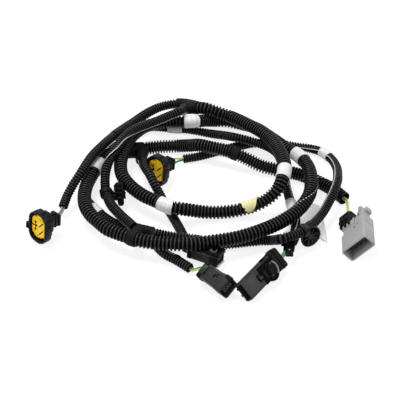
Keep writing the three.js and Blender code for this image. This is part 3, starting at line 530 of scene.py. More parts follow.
lamp_lead_two_points = [
    (-0.0332, -0.0536, 0.0112), (-0.0242, -0.0566, 0.0113), (-0.0143, -0.0587, 0.0114),
    (-0.0073, -0.0591, 0.0107), (-0.0003, -0.058, 0.0082), (0.0067, -0.0582, 0.0056),
    (0.0137, -0.0569, 0.0038), (0.0227, -0.0556, 0.0037), (0.0328, -0.0539, 0.0037),
    (0.0418, -0.0529, 0.0039), (0.0481, -0.0556, 0.0066), (0.0532, -0.0632, 0.0142),
    (0.0591, -0.0618, 0.0148), (0.0681, -0.0547, 0.0136), (0.0756, -0.0444, 0.011),
    (0.0848, -0.0294, 0.0102), (0.0898, -0.0199, 0.012), (0.0944, -0.0098, 0.0142),
    (0.0982, 0.0031, 0.0143), (0.0999, 0.0151, 0.0115), (0.1008, 0.0281, 0.008),
    (0.0986, 0.0416, 0.006), (0.0917, 0.0531, 0.0052), (0.0826, 0.0597, 0.004),
    (0.0725, 0.0628, 0.0037), (0.0606, 0.0662, 0.0037), (0.0466, 0.0673, 0.0037),
    (0.0327, 0.0651, 0.0039), (0.0207, 0.0601, 0.004), (0.0097, 0.0551, 0.0037),
    (-0.0023, 0.0496, 0.0037), (-0.0153, 0.0457, 0.0037),
]
cross_lead_points = [
    (-0.0476, 0.0451, 0.005), (-0.0451, 0.0291, 0.012), (-0.0423, 0.0125, 0.019),
    (-0.039, 0.0052, 0.0185), (-0.0357, -0.0017, 0.0155), (-0.0316, -0.007, 0.01),
    (-0.0277, -0.0134, 0.006), (-0.0235, -0.0218, 0.0039), (-0.0198, -0.0309, 0.0037),
    (-0.0158, -0.0419, 0.0037), (-0.0113, -0.0549, 0.0038),
]
front_lead_points = [
    (-0.0393, -0.0439, 0.0046), (-0.036, -0.0499, 0.0037), (-0.0322, -0.0583, 0.0037),
    (-0.0262, -0.0669, 0.0037), (-0.0181, -0.0735, 0.0037), (-0.0085, -0.0824, 0.0037),
]

lamp_one_line = smooth_line(lamp_lead_one_points)
back_line = smooth_line(back_lead_points)
long_line = smooth_line(long_lead_points)
lamp_two_line = smooth_line(lamp_lead_two_points)
cross_line = smooth_line(cross_lead_points)
front_line = smooth_line(front_lead_points)


def lead_conduit(name, node, line, turn, start=0, end=None, outer=lead_outer, groove=lead_groove,
                 open_end=True):
    return conduit(name, node, line, start, end or line[1][-1], outer, lead_bore, lead_pitch, groove,
                   lead_sides, turn, open_end=open_end)


lamp_split = reach(lamp_one_line, (-0.0691, 0.0574, 0.0169))
lamp_lead_one_stout = lead_conduit(
    "lamp_lead_one_stout_tube", "lamp_lead_1_conduit_stout", lamp_one_line, [(0, 180)],
    end=lamp_split - butt_gap / 2, outer=stout_outer, open_end=False)
lamp_lead_one = lead_conduit("lamp_lead_one_tube", "lamp_lead_1_conduit", lamp_one_line, [(0, 161)],
                             start=lamp_split + butt_gap / 2, groove=shallow_groove)
back_lead = lead_conduit(
    "back_lead_tube", "back_lead_conduit", back_line,
    rolled(back_line, back_lead_points, (0, -118), (5, -110), (6, -62), (7, -35), (8, 10), (9, 80), (10, 130),
           (15, 105)),
    open_end=False)
long_lead = lead_conduit(
    "long_lead_tube", "long_lead_conduit", long_line,
    rolled(long_line, long_lead_points, (24, 180), (26, -35), (29, -35)) + [(0.4, 60)])
lamp_lead_two = lead_conduit(
    "lamp_lead_two_tube", "lamp_lead_2_conduit", lamp_two_line,
    rolled(lamp_two_line, lamp_lead_two_points, (13, -180), (14, -32), (21, -45), (23, -66), (26, -80),
           (28, -180)))
cross_lead = lead_conduit("cross_lead_tube", "cross_lead_conduit", cross_line, [(0.022, 60), (0.03, 180)],
                          groove=faint_groove)
front_bend = reach(front_line, front_lead_points[4])
front_lead = lead_conduit("front_lead_tube", "front_lead_conduit", front_line,
                          [(front_bend - 0.003, -5), (front_bend + 0.003, -120)])

# White and yellow tape
# Plastic tape, 10 to 16 mm wide and 0.2 mm thick, wound twice round the conduit to hold its slit shut.
# It follows the ridges faintly, and its cut edges are uneven. The pale yellow paper band on the inner
# turn is torn, so that little of it is left on its front.

tape_thick = 0.00022
tape_ripple = 0.0001
tape_step = 0.00016
tape_crease = 0.00008
cut_rough = 0.0004
tear_rough = 0.0024


def tape_band(name, node, line, point, width, outer, pitch, material, seam, torn=None):
    """A ring of tape on a line. torn lists (degrees from the top, share of the width left, its shift)."""
    base = outer / 2
    count = round(6 * width / pitch)
    profile = [(0, base - 0.0002)]
    for i in range(count + 1):
        x = width * i / count
        profile.append((x, base + tape_thick + tape_ripple * math.cos(2 * math.pi * x / pitch)))
    profile.append((width, base - 0.0002))
    bm = bmesh.new()
    spun(bm, profile, 48, ring=True)
    bmesh.ops.recalc_face_normals(bm, faces=bm.faces)
    # This layer is 1 over the conduit's ridges and 0 between them; the tape's material paints shade in the
    # valleys from it.
    ripple_shade_mask = bm.verts.layers.float.new("ridge")
    for v in bm.verts:
        v[ripple_shade_mask] = 0.5 + 0.5 * math.cos(2 * math.pi * v.co.x / pitch)
        angle = math.atan2(v.co.y, v.co.z)
        degrees = math.degrees(angle)
        radius = math.hypot(v.co.y, v.co.z)
        share = v.co.x / width - 0.5
        if radius > base:
            radius += tape_step * (1 - ((degrees - seam) % 360) / 360)
            radius += tape_crease * noise.noise(Vector((v.co.x * 300, angle * 2, seam)))
        left, shift, rough = 1, 0, cut_rough
        if torn:
            left, shift = [np.interp(degrees, [t[0] for t in torn], [t[k] for t in torn]) for k in (1, 2)]
            rough = tear_rough if left < 0.95 else cut_rough
            if 95 < degrees < 170:
                radius = base - 0.0016
        edge = Vector((4 * math.cos(angle), 4 * math.sin(angle), 9 * math.copysign(1, share) + seam))
        x = width / 2 + shift + share * (width * left + rough * noise.noise(edge))
        v.co = (x, radius * math.sin(angle), radius * math.cos(angle))
    lay_along(bm.verts, line, reach(line, point) - width / 2)
    piece = finished(name, bm, [material], sharp=60)
    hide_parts(node)


tape_white, tree, shader = new_material("tape_white", 0.42, Specular_IOR_Level=0.35)
cloudy = noise_on(tree, 160.0, 4.0)
colour = blend_colour(tree, cloudy, (0.871, 0.871, 0.847, 1), (0.701, 0.701, 0.687, 1))
# Painted shade: the tape is darker in the valleys between the ridges it follows.
painted_valley_shade = number(tree, "MULTIPLY", number(tree, "SUBTRACT", 1.0, ridge_of(tree)), 0.25)
dress(tree, shader, blend_colour(tree, painted_valley_shade, colour, (0.42, 0.42, 0.42, 1)),
      scaled(tree, cloudy, 0.25, 0.3), noise_on(tree, 420.0, 5.0), 0.00009)

tape_yellow, tree, shader = new_material("tape_yellow", 0.6, Specular_IOR_Level=0.25)
crinkle = noise_on(tree, 330.0, 6.0)
colour = blend_colour(tree, crinkle, (0.871, 0.839, 0.491, 1), (0.610, 0.571, 0.262, 1))
dress(tree, shader, colour, scaled(tree, crinkle, 0.2, 0.45), crinkle, 0.00025)

for where, point, width, seam in (
    ("left_bend", (-0.0803, 0.0226, 0.013), 0.0125, 120),
    ("outer_right", (0.073, 0.0341, 0.014), 0.0128, 20),
    ("outer_back", (-0.0097, 0.0829, 0.0138), 0.0097, 70),
    ("butt_joint", (-0.0265, -0.0254, 0.0136), 0.0102, 95),
    ("inner_right", (0.0588, 0.0002, 0.0237), 0.0108, 200),
):
    tape_band("tape_on_" + where, "white_tape_" + where, trunk, point, width, trunk_outer, trunk_pitch,
              tape_white, seam)
for where, node, line, point, width, seam in (
    ("long_lead_left", "long_lead_left", long_line, (-0.0768, -0.0202, 0.0048), 0.010, 100),
    ("long_lead_back", "long_lead_back", long_line, (-0.0224, 0.0867, 0.0046), 0.011, 10),
    ("long_lead_right", "long_lead_right", long_line, (0.0643, -0.0159, 0.005), 0.0115, -90),
    ("lamp_lead_two", "lamp_lead_2", lamp_two_line, (0.0946, 0.0498, 0.0054), 0.0098, 40),
):
    tape_band("tape_on_" + where, "white_tape_" + node, line, point, width, lead_outer, lead_pitch,
              tape_white, seam)
tape_band("torn_yellow_tape", "yellow_tape", trunk, (0.0345, -0.0193, 0.0078), 0.0155, trunk_outer,
          trunk_pitch, tape_yellow, seam=-60,
          torn=[(-180, 0.5, 0), (-120, 0.95, 0), (-20, 0.95, 0), (20, 0.8, -0.0006), (45, 0.62, -0.001),
                (65, 0.45, -0.0014), (90, 0.24, -0.002), (100, 0.1, -0.002), (180, 0.3, 0)])

# Black cloth tape
# Woven tape, wound in a spiral over the three places where leads leave the trunk. The wraps are 8 to 12 mm
# thick and end on the ridges. A short black band also sits on the upper run.

cloth_step = 0.00022
cloth_lump = 0.0003


def wrap(bm, line, start, end, radii, lap=0.006):
    """Adds a spiral wrap to a mesh. radii are spaced evenly along it, and lap is the step of its turns."""
    length = end - start
    count = round(length / 0.0005)
    profile = [(0, 0)]
    for i in range(count + 1):
        share = i / count
        profile.append((share * length, np.interp(share, np.linspace(0, 1, len(radii)), radii)))
    profile.append((length, 0))
    fresh = spun(bm, profile, 32)
    for v in fresh:
        angle = math.atan2(v.co.y, v.co.z)
        radius = math.hypot(v.co.y, v.co.z)
        if radius > 0.001:
            radius += cloth_step * ((v.co.x / lap + angle / (2 * math.pi)) % 1)
            lump = Vector((v.co.x * 160, 1.6 * math.cos(angle), 1.6 * math.sin(angle)))
            radius += cloth_lump * noise.noise(lump)
        v.co = (v.co.x, radius * math.sin(angle), radius * math.cos(angle))
    lay_along(fresh, line, start)


def wrap_branch(bm, points, radii, lap=0.006):
    """Adds a wrap over the whole of a short line through these points."""
    line = smooth_line(points)
    wrap(bm, line, 0, line[1][-1], radii, lap)


def wrapped(name, bm, node):
    bmesh.ops.recalc_face_normals(bm, faces=bm.faces)
    piece = finished(name, bm, [cloth_black], sharp=50)
    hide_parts(node)


cloth_black, tree, shader = new_material("cloth_black", 0.62, Specular_IOR_Level=0.1)
weave = tree.nodes.new("ShaderNodeTexWave")
weave.inputs["Scale"].default_value = 900.0
weave.inputs["Distortion"].default_value = 1.5
link(tree, tree.nodes.new("ShaderNodeTexCoord").outputs["Object"], weave.inputs["Vector"])
worn = noise_on(tree, 260.0, 5.0)
colour = blend_colour(tree, worn, (0.0015, 0.0015, 0.0018, 1), (0.0070, 0.0070, 0.0075, 1))
relief = number(tree, "ADD", weave.outputs["Fac"], number(tree, "MULTIPLY", worn, 3.0))
dress(tree, shader, colour, scaled(tree, worn, 0.3, 0.4), relief, 0.00006)

bm = bmesh.new()
wrap(bm, trunk, back_joint - 0.003, back_joint + 0.015, (0.0053, 0.0058, 0.0062, 0.006, 0.0056, 0.0053))
wrap_branch(bm,
            [place_on(trunk, back_joint - 0.002), place_on(cross_line, 0.002), place_on(cross_line, 0.012)],
            (0.0052, 0.005, 0.0043, 0.0038))
wrapped("back_junction_wrap", bm, "taped_junction_back")

bm = bmesh.new()
wrap(bm, trunk, front_joint - 0.003, front_joint + 0.0028, (0.0053, 0.0055, 0.0053), lap=0.004)
wrap_branch(bm, [(-0.0509, -0.0453, 0.0089), (-0.0428, -0.0487, 0.0092), (-0.0347, -0.0519, 0.0104)],
            (0.0039, 0.0044, 0.0046, 0.0045, 0.0042, 0.0038))
wrap_branch(bm, [place_on(trunk, front_joint), (-0.0463, -0.0539, 0.0115), (-0.0443, -0.0479, 0.0095)],
            (0.0042, 0.0043, 0.0044))
wrapped("front_junction_wrap", bm, "taped_junction_front")

bm = bmesh.new()
wrap_branch(bm, [place_on(trunk, trunk_end - 0.002), place_on(trunk, trunk_end),
                 place_on(lamp_one_line, 0.002), place_on(lamp_one_line, 0.007)],
            (0.0052, 0.0052, 0.0049, 0.0046, 0.0044, 0.0041), lap=0.008)
wrap_branch(bm, [place_on(trunk, trunk_end - 0.001), place_on(back_line, 0.001), place_on(back_line, 0.010)],
            (0.0048, 0.0046, 0.0041, 0.0038), lap=0.008)
wrapped("end_junction_wrap", bm, "taped_junction_end")

bm = bmesh.new()
middle = reach(trunk, (0.0247, 0.0402, 0.0128))
wrap(bm, trunk, middle - 0.0028, middle + 0.0028, (0.0052, 0.0053, 0.0052), lap=0.004)
wrapped("black_band_on_upper_run", bm, "black_tape_upper_run")

# Clips
# Black nylon, each moulded in one piece with the 5 mm strap that holds it to its lead: a fir tree stem on the
# back lead, a round cup with ribs on lamp lead 2, and a flat foot with a 2.2 mm hole on the long lead.

strap_width = 0.005


def join_in(bm, part, paint=0):
    """Moves a part's mesh into another mesh, painted with that mesh's material of this number."""
    for face in part.faces:
        face.material_index = paint
    mesh = bpy.data.meshes.new("part")
    part.to_mesh(mesh)
    part.free()
    bm.from_mesh(mesh)
    bpy.data.meshes.remove(mesh)


def round_off(bm, edges, offset, segments):
    bmesh.ops.bevel(bm, geom=edges, offset=offset, segments=segments, profile=0.5, affect="EDGES",
                    material=-1, clamp_overlap=True)


def block(bm, x, y, z, corner=0.0, mouth=None, soft=0.0003, paint=0, turn=None):
    """Adds a moulded box over the ranges x, y and z. corner rounds its edges along X, mouth=(wall, depth)
    hollows its +X end, soft rounds its other edges, and turn is a matrix that places it."""
    part = bmesh.new()
    size = [b - a for a, b in (x, y, z)]
    centre = [(a + b) / 2 for a, b in (x, y, z)]
    bmesh.ops.create_cube(part, size=1, matrix=Matrix.Translation(centre) @ Matrix.Diagonal((*size, 1)))
    if corner:
        along = [e for e in part.edges if abs(e.verts[0].co.x - e.verts[1].co.x) > size[0] / 2]
        round_off(part, along, corner, 6)
    if mouth:
        front = [max(part.faces, key=lambda f: f.calc_center_median().x)]
        bmesh.ops.inset_region(part, faces=front, thickness=mouth[0], use_even_offset=True)
        bmesh.ops.inset_region(part, faces=front, thickness=0.0001, depth=-mouth[1], use_even_offset=True)
    if soft:
        creased = [e for e in part.edges if len(e.link_faces) == 2 and e.calc_face_angle() > 0.6]
        round_off(part, creased, soft, 2)
    if turn:
        part.transform(turn)
    join_in(bm, part, paint)


def aimed(origin, direction):
    """The place of a piece that was made along X, with its start at an origin and its X along a direction."""
    turn = Vector((1, 0, 0)).rotation_difference(Vector(direction))
    return Matrix.Translation(origin) @ turn.to_matrix().to_4x4()


def turned(bm, profile, origin=(0, 0, 0), direction=(1, 0, 0), sides=28, paint=0):
    """Adds a round piece: profile lists (radius, distance along its axis)."""
    part = bmesh.new()
    spun(part, [(along, radius) for radius, along in profile], sides, ring=profile[0][0] > 0)
    bmesh.ops.recalc_face_normals(part, faces=part.faces)
    part.transform(aimed(origin, direction))
    join_in(bm, part, paint)


def strap(bm, line, point):
    """Adds a clip's strap: a closed band round a lead."""
    inner = lead_outer / 2 + 0.0001
    part = bmesh.new()
    turned(
        part,
        [(inner, 0), (inner + 0.0009, 0), (inner + 0.0011, 0.0003), (inner + 0.0011, strap_width - 0.0003),
         (inner + 0.0009, strap_width), (inner, strap_width)],
        sides=32)
    lay_along(part.verts, line, reach(line, point) - strap_width / 2)
    join_in(bm, part)


def moulded(name, bm, materials, node, place=None):
    """A moulded piece from its mesh, set at its connector's place."""
    if place:
        bm.transform(place)
    piece = finished(name, bm, materials, sharp=35)
    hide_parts(node)
    return piece


def plastic(name, colour, rubbed_colour, rubbed, smooth, dull, specular, grain=2600.0, grain_depth=0.00003):
    """A moulded plastic's material."""
    material, tree, shader = new_material(name, dull, Specular_IOR_Level=specular)
    dress(tree, shader, *handled(tree, colour, rubbed_colour, rubbed, grain, smooth, dull), grain_depth)
    return material


clip_black = plastic("clip_black", (0.0037, 0.0037, 0.0040), (0.0452, 0.0452, 0.0482), 0.4, 0.25, 0.45, 0.2)
clip_matt = plastic("clip_matt", (0.0024, 0.0024, 0.0027), (0.0319, 0.0319, 0.0343), 0.3, 0.35, 0.55, 0.08)

bm = bmesh.new()
strap(bm, back_line, (-0.0703, -0.0082, 0.0117))
arm = Matrix.Translation((-0.0629, -0.0089, 0.0082))
block(bm, (-0.0046, 0.001), (-0.0022, 0.0026), (-0.0014, 0.0036), soft=0.0006, turn=arm)
block(bm, (-0.0046, -0.002), (-0.001, 0.0022), (0.003, 0.0052), soft=0.0006, turn=arm)
stem_foot = Vector((-0.0595, -0.0127, 0.0032))
stem_axis = Vector((-0.0613, -0.0014, 0.017)) - Vector((-0.0595, -0.0115, 0.0034))
stem = [
    (0, 0), (0.0014, 0.0004), (0.0022, 0.0014), (0.0025, 0.0038), (0.0024, 0.005), (0.0036, 0.0055),
    (0.0041, 0.0063), (0.0038, 0.0068), (0.0026, 0.0073), (0.0026, 0.0081), (0.0041, 0.0086),
    (0.0045, 0.0096), (0.0043, 0.0101), (0.0027, 0.0106), (0.0027, 0.0114), (0.0041, 0.012), (0.0043, 0.0128),
    (0.004, 0.0133), (0.0027, 0.0138), (0.0027, 0.0146), (0.0034, 0.0151), (0.0036, 0.0159), (0.003, 0.0166),
    (0.0018, 0.0176), (0, 0.0179),
]
turned(bm, stem, stem_foot, stem_axis, sides=24)
stem_place = aimed(stem_foot, stem_axis)
block(bm, (0.005, 0.0158), (-0.0046, 0.0046), (-0.0007, 0.0007), turn=stem_place)
block(bm, (0.005, 0.0158), (-0.0007, 0.0007), (-0.0044, 0.0044), turn=stem_place)
moulded("fir_tree_clip", bm, [clip_matt], "fir_tree_clip_back_lead")

bm = bmesh.new()
strap(bm, lamp_two_line, (0.0687, -0.0532, 0.013))
cup_axis = -Vector((0.5, -0.84, 0.1)).normalized()
cup_mouth = Vector((0.0749, -0.0548, 0.0089))
cup = [
    (0, 0.0016), (0.0018, 0.0017), (0.004, 0.0024), (0.0056, 0.0022), (0.0068, 0.001), (0.0072, 0.0001),
    (0.0078, 0), (0.0081, 0.0005), (0.0079, 0.0014), (0.0064, 0.0034), (0.0046, 0.005), (0.003, 0.0062),
    (0.0024, 0.0072), (0.0023, 0.0086), (0, 0.009),
]
turned(bm, cup, cup_mouth, cup_axis, sides=44)
for degrees in (20, 65, 110, 155):
    block(bm, (0.0006, 0.0032), (-0.0064, 0.0064), (-0.0004, 0.0004), soft=0.0001,
          turn=aimed(cup_mouth, cup_axis) @ Matrix.Rotation(math.radians(degrees), 4, "X"))
hub = [(0, 0.0004), (0.002, 0.0004), (0.0023, 0.0008), (0.0023, 0.003), (0, 0.003)]
turned(bm, hub, cup_mouth, cup_axis, sides=24)
neck = smooth_line([cup_mouth + 0.007 * cup_axis, (0.0713, -0.0513, 0.0115), (0.0693, -0.0525, 0.013)])
neck_long = neck[1][-1]
part = bmesh.new()
turned(part, [(0, 0), (0.0024, 0.0002), (0.0026, neck_long / 2), (0.003, neck_long), (0, neck_long)])
lay_along(part.verts, neck, 0)
join_in(bm, part)
moulded("round_clip", bm, [clip_black], "round_clip_lamp_lead_2")

bm = bmesh.new()
strap(bm, long_line, (0.0617, -0.0524, 0.0048))
foot = Matrix.Translation((0.0587, -0.0665, 0.0075)) @ Matrix.Rotation(math.radians(12), 4, "X")
ring = [
    (0.0011, -0.0007), (0.0035, -0.0007), (0.0039, -0.0004), (0.0039, 0.0006), (0.0036, 0.0009),
    (0.0014, 0.0009), (0.0011, 0.0006),
]
turned(bm, ring, foot.translation, foot.to_3x3() @ Vector((0, 0, 1)), sides=32)
block(bm, (-0.0036, 0.0042), (0.0009, 0.0128), (-0.00075, 0.00085), turn=foot)
block(bm, (-0.0052, -0.0033), (0.003, 0.0128), (-0.0008, 0.0008), soft=0.0004, turn=foot)
block(bm, (-0.0036, 0.0038), (0.0108, 0.0136), (-0.0044, 0.0006), soft=0.0005, turn=foot)
block(bm, (-0.0026, 0.0028), (-0.0062, -0.0019), (-0.00065, 0.00075), soft=0.0006, turn=foot)
moulded("foot_clip", bm, [clip_matt], "foot_clip_long_lead")

# Label
# A bare flag of plastic film, 0.4 mm thick, lying on the table under the outer turn.
# Its free corner lifts a little. It carries no print.

film_thick = 0.0004

label_film, tree, shader = new_material("label_film", 0.4, Specular_IOR_Level=0.4, Transmission_Weight=0.7,
                                        IOR=1.15)
scuff = noise_on(tree, 70.0, 5.0)
colour = blend_colour(tree, scuff, (0.956, 0.956, 0.956, 1), (0.776, 0.776, 0.784, 1))
dress(tree, shader, colour, scaled(tree, scuff, 0.3, 0.25), noise_on(tree, 210.0, 4.0), 0.0001)

bm = bmesh.new()
outline = [
    (0.0567, -0.0399), (0.0787, -0.0044), (0.0847, -0.0109), (0.0863, -0.0269), (0.0867, -0.0539),
    (0.0777, -0.0434), (0.0682, -0.0459),
]
bm.faces.new([bm.verts.new((x, y, 0)) for x, y in outline])
bmesh.ops.triangulate(bm, faces=bm.faces)
for _ in range(4):
    bmesh.ops.subdivide_edges(bm, edges=bm.edges, cuts=1, use_grid_fill=True)
bmesh.ops.recalc_face_normals(bm, faces=bm.faces)
for v in bm.verts:
    lift = 0.3 * max(0, v.co.x - 0.079)
    wave = 1 + noise.noise(Vector((v.co.x * 60, v.co.y * 60, 3)))
    v.co.z = 0.0003 + lift + 0.0003 * wave
label = finished("label_flag_film", bm, [label_film])
film = label.modifiers.new("film", "SOLIDIFY")
film.thickness = film_thick
film.offset = 1
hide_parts("label_flag")

# Wires
# Thin-wall automotive wire, 1.2 to 1.7 mm outside. Each leaves a conduit's mouth and bends to its own hole in
# a connector. The colours are the insulation's own.

wire_outer = 0.0017
insulation = {
    name: plastic("wire_" + name, shade, rubbed, 0.3, 0.25, 0.4, 0.5, 3000.0, 0.00001)
    for name, shade, rubbed in (
        ("white", (0.617, 0.617, 0.631), (0.831, 0.831, 0.831)),
        ("grey", (0.254, 0.262, 0.270), (0.456, 0.456, 0.456)),
        ("yellow", (0.761, 0.687, 0.270), (0.871, 0.839, 0.515)),
        ("lime", (0.503, 0.527, 0.181), (0.716, 0.730, 0.402)),
        ("green", (0.0976, 0.352, 0.117), (0.262, 0.515, 0.287)),
        ("blue", (0.138, 0.479, 0.552), (0.352, 0.680, 0.730)),
        ("orange", (0.515, 0.107, 0.0212), (0.680, 0.262, 0.102)),
        ("black", (0.0091, 0.0091, 0.0103), (0.0612, 0.0612, 0.0648)),
    )
}


def run_wires(prefix, nodes, line, end, place, rear, holes, colours, leave=0.12, arrive=0.2,
              thick=wire_outer):
    """Wires from a conduit's open "start" or "end" to holes (y, z) in a connector's rear face at X = rear."""
    total = line[1][-1]
    inside, lip = (0.010, 0.0) if end == "start" else (total - 0.010, total)
    deep, mouth = [Vector(place_on(line, d)) for d in (inside, lip)]
    out = (mouth - deep).normalized()
    ends = [place @ Vector((rear + 0.002, y, z)) for y, z in holes]
    across = ends[-1] - ends[0]
    across = (across - across.dot(out) * out).normalized()
    into = (place.to_3x3() @ Vector((1, 0, 0))).normalized()
    gap = (sum(ends, Vector()) / len(ends) - mouth).length
    made = []
    for i, (goal, shade) in enumerate(zip(ends, colours)):
        shift = across * (i - (len(ends) - 1) / 2) * (1.1 if len(ends) == 2 else 0.7) * thick
        if len(ends) == 3:
            shift += across.cross(out) * (0.0011 if i == 1 else -0.0006)
        path = smooth_line([
            deep + shift, mouth + shift - out * 0.001, mouth + shift + out * gap * leave,
            goal - into * (0.002 + gap * arrive), goal - into * 0.0016, goal])
        length = path[1][-1]
        count = round(length / 0.0009)
        profile = [(0, 0)] + [(thick / 2, length * k / count) for k in range(count + 1)] + [(0, length)]
        bm = bmesh.new()
        turned(bm, profile, sides=14)
        lay_along(bm.verts, path, 0)
        wire = finished(prefix + "_insulated_" + str(i + 1), bm, [insulation[shade]])
        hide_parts(nodes + "_wire_" + str(i + 1))
        made.append(wire)
    return made


# Lamp plugs
# Two alike, for the front lamps: a black shroud with an oval mouth, 17.4 by 23.6 mm and 6 mm deep, a stepped
# body and neck behind it, a lug at its side and a latch on top, round a yellow insert with two slanted slots.

housing_black = plastic("housing_black", (0.0040, 0.0040, 0.0044), (0.0513, 0.0513, 0.0545), 0.35, 0.3, 0.5,
                        0.13)
insert_yellow = plastic("insert_yellow", (1.000, 0.624, 0.0018), (1.000, 0.761, 0.102), 0.3, 0.3, 0.45, 0.3,
                        2200.0, 0.00002)
# A near black with almost no reflection. On flat marks and plates for slots, pin holes, the bottom of the
# main connector's mouth and the pocket round the sealed connector's lock, it is painted shade. It also
# colours the sealed connector's mouth notches, a side bump and its window frame.
near_black_painted_shade = plastic("near_black_painted_shade", (0.0018, 0.0018, 0.0021), (0.0052, 0.0052, 0.0052), 0.3, 0.5, 0.7, 0.05)


def connector_place(mouth, yaw, pitch, roll):
    """Where a connector lies: its mouth opens along its own X."""
    return (Matrix.Translation(mouth) @ Matrix.Rotation(math.radians(yaw), 4, "Z")
            @ Matrix.Rotation(math.radians(-pitch), 4, "Y") @ Matrix.Rotation(math.radians(roll), 4, "X"))


def lamp_plug(name, node, place):
    """The shell and the insert of a lamp plug, its mouth towards X."""
    bm = bmesh.new()
    block(bm, (0.0012, 0.007), (-0.0087, 0.0087), (-0.0118, 0.0118), corner=0.0068, mouth=(0.0012, 0.0046))
    block(bm, (-0.0042, 0.002), (-0.0054, 0.0054), (-0.0064, 0.0068), corner=0.003, soft=0.0005)
    block(bm, (-0.0034, 0.0014), (-0.003, 0.003), (0.0062, 0.0096), soft=0.0006)
    block(bm, (-0.0114, -0.003), (-0.0039, 0.0039), (-0.0036, 0.0048), corner=0.0014)
    block(bm, (-0.0116, -0.0098), (-0.0045, 0.0045), (-0.0042, 0.0054), corner=0.0015)
    block(bm, (-0.008, -0.007), (-0.0044, 0.0044), (-0.0041, 0.0053), corner=0.0015, soft=0.0002)
    block(bm, (-0.0108, -0.004), (-0.0008, 0.0008), (0.0044, 0.006))
    block(bm, (0.0012, 0.0055), (-0.0132, -0.0082), (-0.0064, -0.0014), soft=0.0005, mouth=(0.0008, 0.002))
    block(bm, (0.001, 0.0068), (-0.0032, 0.0032), (0.0112, 0.0127), soft=0.0005)
    block(bm, (0.001, 0.0066), (-0.0026, 0.0026), (-0.0126, -0.0112), soft=0.0005)
    block(bm, (0.001, 0.0066), (0.0082, 0.0094), (-0.004, 0.004), soft=0.0005)
    housing = moulded(name + "_shell", bm, [housing_black], node + "_housing", place)
    bm = bmesh.new()
    face = 0.0052
    block(bm, (0.0014, face), (-0.0071, 0.0071), (-0.0074, 0.0074), corner=0.0034, soft=0.0005)
    block(bm, (0.0014, face - 0.0002), (-0.0022, 0.0052), (0.0064, 0.0094), soft=0.0005, corner=0.0016)
    block(bm, (0.0014, face - 0.0002), (-0.0048, 0.0024), (-0.0092, -0.0064), soft=0.0005, corner=0.0014)
    block(bm, (face - 0.001, face + 0.0007), (-0.0004, 0.0062), (-0.0068, 0.0068), corner=0.002)
    # The slanted slots, three pin holes and two bars on the insert's face are flat near-black marks: painted
    # shade.
    slant = math.radians(49)
    for height in (0.0031, -0.0031):
        slot_turn = Matrix.Translation((face + 0.0006, 0.003, height)) @ Matrix.Rotation(slant, 4, "X")
        block(bm, (-0.0003, 0.00014), (-0.0031, 0.0031), (-0.00042, 0.00042), soft=0, paint=1, turn=slot_turn)
    for y, height in ((-0.0034, 0.003), (-0.0026, 0.0004), (-0.0034, -0.0028)):
        turned(bm, [(0, 0), (0.00095, 0), (0.00095, 0.0003), (0, 0.0003)], (face - 0.0002, y, height),
               sides=14, paint=1)
    block(bm, (face - 0.0003, face + 0.0001), (-0.0074, -0.0026), (-0.0004, 0.0004), soft=0, paint=1)
    block(bm, (face - 0.0003, face + 0.0001), (-0.0036, -0.003), (-0.0028, 0.003), soft=0, paint=1)
    insert = moulded(name + "_yellow_insert", bm, [insert_yellow, near_black_painted_shade],
                     node + "_insert", place)
    return [housing, insert]


lamp_one_place = connector_place((-0.1109, -0.0459, 0.0128), -131, 8, 0)
lamp_one_plug = lamp_plug("lamp_plug_one", "lamp_plug_1", lamp_one_place)
lamp_one_wires = run_wires("lamp_one", "lamp_plug_1", lamp_one_line, "end", lamp_one_place, -0.0116,
                           [(0.0004, 0.0012), (-0.0004, 0.003)], ["white", "grey"], 0.2, 0.0)
lamp_two_place = connector_place((-0.0315, 0.0207, 0.0128), -128, 8, 0)
lamp_two_plug = lamp_plug("lamp_plug_two", "lamp_plug_2", lamp_two_place)
lamp_two_wires = run_wires("lamp_two", "lamp_plug_2", lamp_two_line, "end", lamp_two_place, -0.0116,
                           [(0, -0.0018), (0, 0.0028)], ["green", "yellow"], 0.1, 0.1)

# Main connector
# The largest connector, mid grey: 22 by 11.4 mm and 26 mm long, with a wide mouth and a dark tongue in it,
# and a shoulder and a latch at the rear. A black cover over its wires is clipped on behind.

housing_grey = plastic("housing_grey", (0.342, 0.342, 0.342), (0.546, 0.546, 0.552), 0.3, 0.36, 0.55, 0.3)
housing_charcoal = plastic("housing_charcoal", (0.0160, 0.0160, 0.0168), (0.102, 0.102, 0.107), 0.3, 0.3, 0.5,
                           0.2)

main_place = connector_place((0.1057, -0.0704, 0.0113), -94.5, 0, 48)
bm = bmesh.new()
block(bm, (-0.0165, 0), (-0.011, 0.011), (-0.0057, 0.0057), corner=0.002, mouth=(0.0011, 0.013))
block(bm, (-0.026, -0.016), (-0.0092, 0.011), (-0.0057, 0.0057), corner=0.002)
block(bm, (-0.0262, -0.0165), (0.0014, 0.003), (0.005, 0.0067))
block(bm, (-0.0262, -0.0175), (0.0048, 0.0064), (0.005, 0.0067))
block(bm, (-0.0262, -0.021), (-0.0092, 0.0014), (0.005, 0.0062))
block(bm, (-0.0322, -0.0245), (0.0066, 0.0108), (-0.0016, 0.0056), soft=0.0006)
block(bm, (-0.0349, -0.0302), (0.0064, 0.0092), (0.001, 0.0062), soft=0.0006)
block(bm, (-0.0335, -0.0289), (0.0098, 0.0126), (-0.0018, 0.0034), soft=0.0006)
block(bm, (-0.0317, -0.0289), (0.0046, 0.0072), (0.0012, 0.0052), soft=0.0005)
main_shell = moulded("main_connector_shell", bm, [housing_grey], "main_connector_housing",
                     main_place)
bm = bmesh.new()
